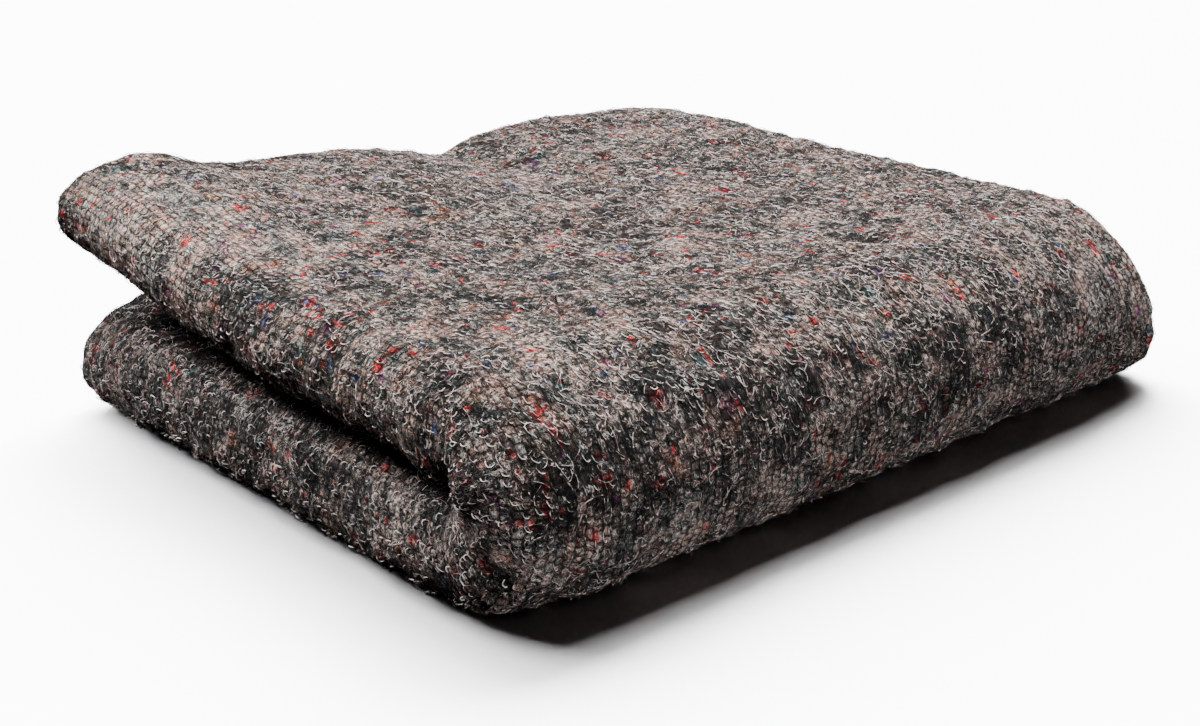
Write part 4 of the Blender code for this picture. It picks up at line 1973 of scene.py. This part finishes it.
@dataclass
class LooseFibres:
    """One patch's fibres of one kind, which have worked loose."""

    patch: Patch
    cloth: FoldedCloth
    material: bpy.types.Material
    kind: FibreKind
    count: int
    seed: int
    # The least and the greatest share of its size, curl and lift that a fibre has.
    sizes: Span = (0.35, 1.40)
    curls: Span = (0.20, 1.30)
    lifts: Span = (0.15, 1.00)
    # The greatest angle that a fibre lies at: a full turn.
    angle: float = 6.2832
    # How a standing fibre rises, and how far a curled one humps up and sinks in at its ends.
    rise: float = 0.70
    hump: float = 1.40
    sunk: float = 0.25

    def build(self, name: str) -> bpy.types.Object:
        """Builds the fibres, and folds them with the cloth.

        Args:
            name: the piece's name.

        Returns:
            The piece.
        """
        kind, patch = self.kind, self.patch
        inputs = {
            "Width": patch.width,
            "Length": patch.length,
            "Density": self.count / (patch.width * patch.length),
            "Fibre Length": kind.length,
            "Fibre Radius": kind.radius,
            "Points": kind.points,
            "Curl": kind.curl,
            "Lift": kind.lift,
            "Seed": self.seed,
            "Material": self.material,
        }
        bench = TreeBench(name, inputs)
        given = bench.given
        feeds = {"Mesh": bench.grid(2, 2), "Density": given["Density"], "Seed": given["Seed"]}
        roots = bench.put("GeometryNodeDistributePointsOnFaces", feeds).outputs["Points"]
        feeds = {"Start": ORIGIN, "End": bench.vector_of(given["Fibre Length"], 0.0, 0.0)}
        line = bench.put("GeometryNodeCurvePrimitiveLine", feeds).outputs["Curve"]
        feeds = {"Curve": line, "Count": given["Points"]}
        fine = bench.put("GeometryNodeResampleCurve", feeds).outputs["Curve"]
        turn = bench.random(ORIGIN, (0.0, 0.0, self.angle))
        size = bench.random(*self.sizes)
        whole = bench.scattered(fine, roots, turn, bench.vector_of(size, size, size))
        solid = bench.tube(bench.moved(whole, self.wave(bench)), given["Fibre Radius"])
        return lay_on_pack(bench.bake(name, solid), patch, self.cloth)

    def wave(self, bench: TreeBench) -> Any:
        """How far each point of a fibre is moved to curl it and lift it off the felt.

        Args:
            bench: where the nodes go.

        Returns:
            The offset socket.
        """
        given = bench.given
        share = bench.put("GeometryNodeSplineParameter").outputs["Factor"]
        fibre = bench.put("GeometryNodeCurveOfPoint").outputs["Curve Index"]
        turns = bench.random(-self.kind.turns, self.kind.turns, number=fibre)
        start = bench.random(0.0, self.angle, step=2, number=fibre)
        wide = bench.random(*self.curls, step=3, number=fibre)
        high = bench.random(*self.lifts, step=4, number=fibre)
        angle = bench.sum_of("ADD", bench.sum_of("MULTIPLY", share, turns), start)
        reach = bench.sum_of("MULTIPLY", given["Curl"], wide)
        x = bench.sum_of("MULTIPLY", bench.sum_of("COSINE", angle), reach)
        y = bench.sum_of("MULTIPLY", bench.sum_of("SINE", angle), reach)
        lift = bench.sum_of("MULTIPLY", given["Lift"], high)
        if self.kind.lie is FibreLie.STANDING:
            rise = bench.sum_of("POWER", share, self.rise)
        else:
            hill = bench.sum_of("SINE", bench.sum_of("MULTIPLY", share, math.pi))
            rise = bench.sum_of("SUBTRACT", bench.sum_of("MULTIPLY", hill, self.hump), self.sunk)
        return bench.vector_of(x, y, bench.sum_of("MULTIPLY", lift, rise))


# ---- the blanket ---------------------------------------------------------------------


@dataclass
class MovingBlanket:
    """The whole blanket: felt, bonding yarn and loose fibres, folded as one."""

    cloth: FoldedCloth = FoldedCloth()
    cut_width: float = 1.5
    cut_length: float = 2.0
    # Where the front fold turns down and its yarn is no longer the brighter yarn.
    brow_end: float = -0.084
    # On each patch, the share of stitches that shows and their seed, and how many loose
    # fibres of each kind there are.
    stitches: tuple[tuple[float, int], ...] = ((0.45, 5), (0.70, 8), (0.25, 6), (0.50, 7))
    curls: tuple[int, ...] = (2300, 500, 900, 2300)
    fuzz: tuple[int, ...] = (2400, 400, 1100, 2400)
    curled: FibreKind = FibreKind(
        lie=FibreLie.CURLED,
        length=0.0062,
        radius=0.00013,
        points=7,
        curl=0.0013,
        lift=0.0008,
        turns=6.5,
        seed=31,
    )
    standing: FibreKind = FibreKind(
        lie=FibreLie.STANDING,
        length=0.0022,
        radius=0.00005,
        points=4,
        curl=0.0006,
        lift=0.0016,
        turns=2.5,
        seed=61,
    )
    # How far the patches go past the folds that bound them, and at the right short of its end.
    past_ends: float = 0.008
    past_foot: float = 0.012
    past_left: float = 0.090
    past_back: float = 0.004

    def patches(self) -> dict[str, Patch]:
        """Bounds the parts of the outer face that show.

        Returns:
            The patches, by name.
        """
        _, across = self.cloth.across_marks
        _, along = self.cloth.along_marks
        _, left_end, left, _, right_end, _ = across
        _, _, back, front_top, front_foot, lower_back, _, _ = along
        right, back = right_end - self.past_ends, back - self.past_ends
        return {
            "top": Patch(left, right, back, front_top),
            "brow": Patch(left, right, front_top, self.brow_end),
            "front": Patch(left, right, self.brow_end, front_foot + self.past_foot),
            "left": Patch(left_end - self.past_left, left, back, lower_back + self.past_back),
        }

    def build(self) -> None:
        """Builds every piece, hangs each one on the root body and hides the CAD blanket."""
        sheet = FeltSheet(self.cloth).build()
        yarn = YarnFinish().make()
        brighter = YarnFinish("clean_yarn", bright_steps=(0.32, 0.42, 0.50)).make()
        fibre = FibreFinish().make()
        patches = self.patches()
        trims = []
        for (where, patch), (share, seed) in zip(patches.items(), self.stitches):
            material = brighter if where == "brow" else yarn
            layer = YarnStitches(f"stitches_{where}", patch, self.cloth, material, share, seed)
            trims.append(layer.build())
        for kind, counts in ((self.curled, self.curls), (self.standing, self.fuzz)):
            for number, (where, count) in enumerate(zip(patches, counts)):
                seed = kind.seed + number
                layer = LooseFibres(patches[where], self.cloth, fibre, kind, count, seed)
                trims.append(layer.build(f"{kind.lie.value}_{where}"))
        for piece in (sheet, *trims):
            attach(piece, "root")
            LOG.info("%s: %d faces", piece.name, len(piece.data.polygons))
        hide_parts("blanket")


# ---- the studio ----------------------------------------------------------------------


@dataclass(frozen=True)
class SoftLight:
    """One large soft light: where it stands and its power, what it looks at and its size."""

    name: str
    place: Triple
    power: float
    target: Triple = (0.0, 0.0, 0.05)
    size: float = 1.0

    def build(self, left_out: bpy.types.Collection) -> bpy.types.Object:
        """The light.

        Args:
            left_out: the collection that keeps the light off the floor.

        Returns:
            The light's object.
        """
        lamp = bpy.data.lights.new(self.name, "AREA")
        lamp.shape = "DISK"
        lamp.size = self.size
        lamp.energy = self.power
        light = placed(self.name, lamp)
        light.location = self.place
        way = Vector(self.target) - Vector(self.place)
        light.rotation_euler = way.to_track_quat("-Z", "Y").to_euler()
        light.light_linking.receiver_collection = left_out
        return light


@dataclass(frozen=True)
class FloorWash:
    """A light on the floor alone, which keeps it pale without lighting the felt."""

    name: str
    comes_from: Triple
    power: float
    spread: float = math.radians(45.0)

    def build(self, lit: bpy.types.Collection) -> bpy.types.Object:
        """The light.

        Args:
            lit: the collection of what it lights.

        Returns:
            The light's object.
        """
        lamp = bpy.data.lights.new(self.name, "SUN")
        lamp.energy = self.power
        lamp.angle = self.spread
        lamp.cycles.max_bounces = 0
        lamp.cycles.use_multiple_importance_sampling = False
        light = placed(self.name, lamp)
        light.rotation_euler = Vector(self.comes_from).to_track_quat("Z", "Y").to_euler()
        light.light_linking.receiver_collection = lit
        return light


@dataclass
class Studio:
    """A plain pale floor, soft light and the camera."""

    floor_size: float = 14.0
    floor_drop: float = 0.0002
    sky: float = 0.002
    camera_place: Triple = (-0.4847, -0.5334, 0.2784)
    camera_heading: float = math.radians(48.2)
    camera_dip: float = math.radians(20.4)
    camera_lens: float = 53.61
    camera_film: float = 36.0
    washes: tuple[FloorWash, ...] = (
        FloorWash("floor_low", (0.60, 0.90, 1.0), 28.9),
        FloorWash("floor_high", (0.20, 0.50, 1.0), 7.6),
        FloorWash("floor_left", (-0.20, 1.30, 1.0), 11.9),
        FloorWash("floor_right", (1.10, 0.90, 1.0), 5.6),
        FloorWash("floor_edge", (0.60, 0.50, 1.0), 9.4, math.radians(20.0)),
    )
    lights: tuple[SoftLight, ...] = (
        SoftLight("back_left", (-0.80, 1.45, 1.60), 95.0),
        SoftLight("back", (0.0, 1.77, 1.47), 27.0),
        SoftLight("left_high", (-0.93, 0.62, 2.01), 25.0),
        SoftLight("overhead", (0.0, 0.0, 2.30), 59.0),
        SoftLight("right", (1.84, 0.0, 1.38), 27.0),
        SoftLight("front", (-0.15, -2.11, 0.90), 36.0),
    )

    def build_floor(self) -> bpy.types.Object:
        """Builds the floor, just under the pack.

        Returns:
            The floor.
        """
        half = self.floor_size / 2
        mesh = bpy.data.meshes.new("floor")
        corners = [(-half, -half), (half, -half), (half, half), (-half, half)]
        mesh.from_pydata([(x, y, -self.floor_drop) for x, y in corners], [], [(0, 1, 2, 3)])
        mesh.materials.append(FloorFinish().make())
        floor = placed("floor", mesh)
        floor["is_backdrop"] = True
        return floor

    def build_lights(self, floor: bpy.types.Object) -> None:
        """Lights the pack, and apart from it the floor.

        Args:
            floor: the floor.
        """
        lit = bpy.data.collections.new("washed_floor")
        lit.objects.link(floor)
        for wash in self.washes:
            wash.build(lit)
        left_out = bpy.data.collections.new("unlit_floor")
        left_out.objects.link(floor)
        left_out.collection_objects[0].light_linking.link_state = "EXCLUDE"
        for light in self.lights:
            light.build(left_out)

    def build_sky(self) -> None:
        """An even pale surround."""
        world = bpy.data.worlds.new("studio")
        world.use_nodes = True
        background = world.node_tree.nodes["Background"]
        background.inputs["Color"].default_value = (1.0, 1.0, 1.0, 1.0)
        background.inputs["Strength"].default_value = self.sky
        bpy.context.scene.world = world

    def build_camera(self) -> None:
        """The camera, which looks down at the pack's near corner."""
        data = bpy.data.cameras.new("camera")
        data.sensor_width = self.camera_film
        data.lens = self.camera_lens
        camera = placed("camera", data)
        camera.location = self.camera_place
        tilt = math.pi / 2 - self.camera_dip
        camera.rotation_euler = Euler((tilt, 0.0, self.camera_heading - math.pi / 2))
        bpy.context.scene.camera = camera

    def build(self) -> None:
        """The whole studio."""
        self.build_camera()
        self.build_sky()
        self.build_lights(self.build_floor())
        LOG.info("studio: %d lights", len(self.lights) + len(self.washes))


def write_sizes() -> None:
    """Works out the CAD model's box and the visual model's box as plain lists; nothing is written.
    """
    boxes = {"cad": cad_box, "visual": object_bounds()}
    plain = {name: [list(corner) for corner in box] for name, box in boxes.items()}


def main() -> None:
    """Builds the studio and the blanket."""
    logging.basicConfig(level=logging.INFO, format="%(message)s")
    Studio().build()
    MovingBlanket().build()
    write_sizes()


if __name__ == "__main__":
    main()
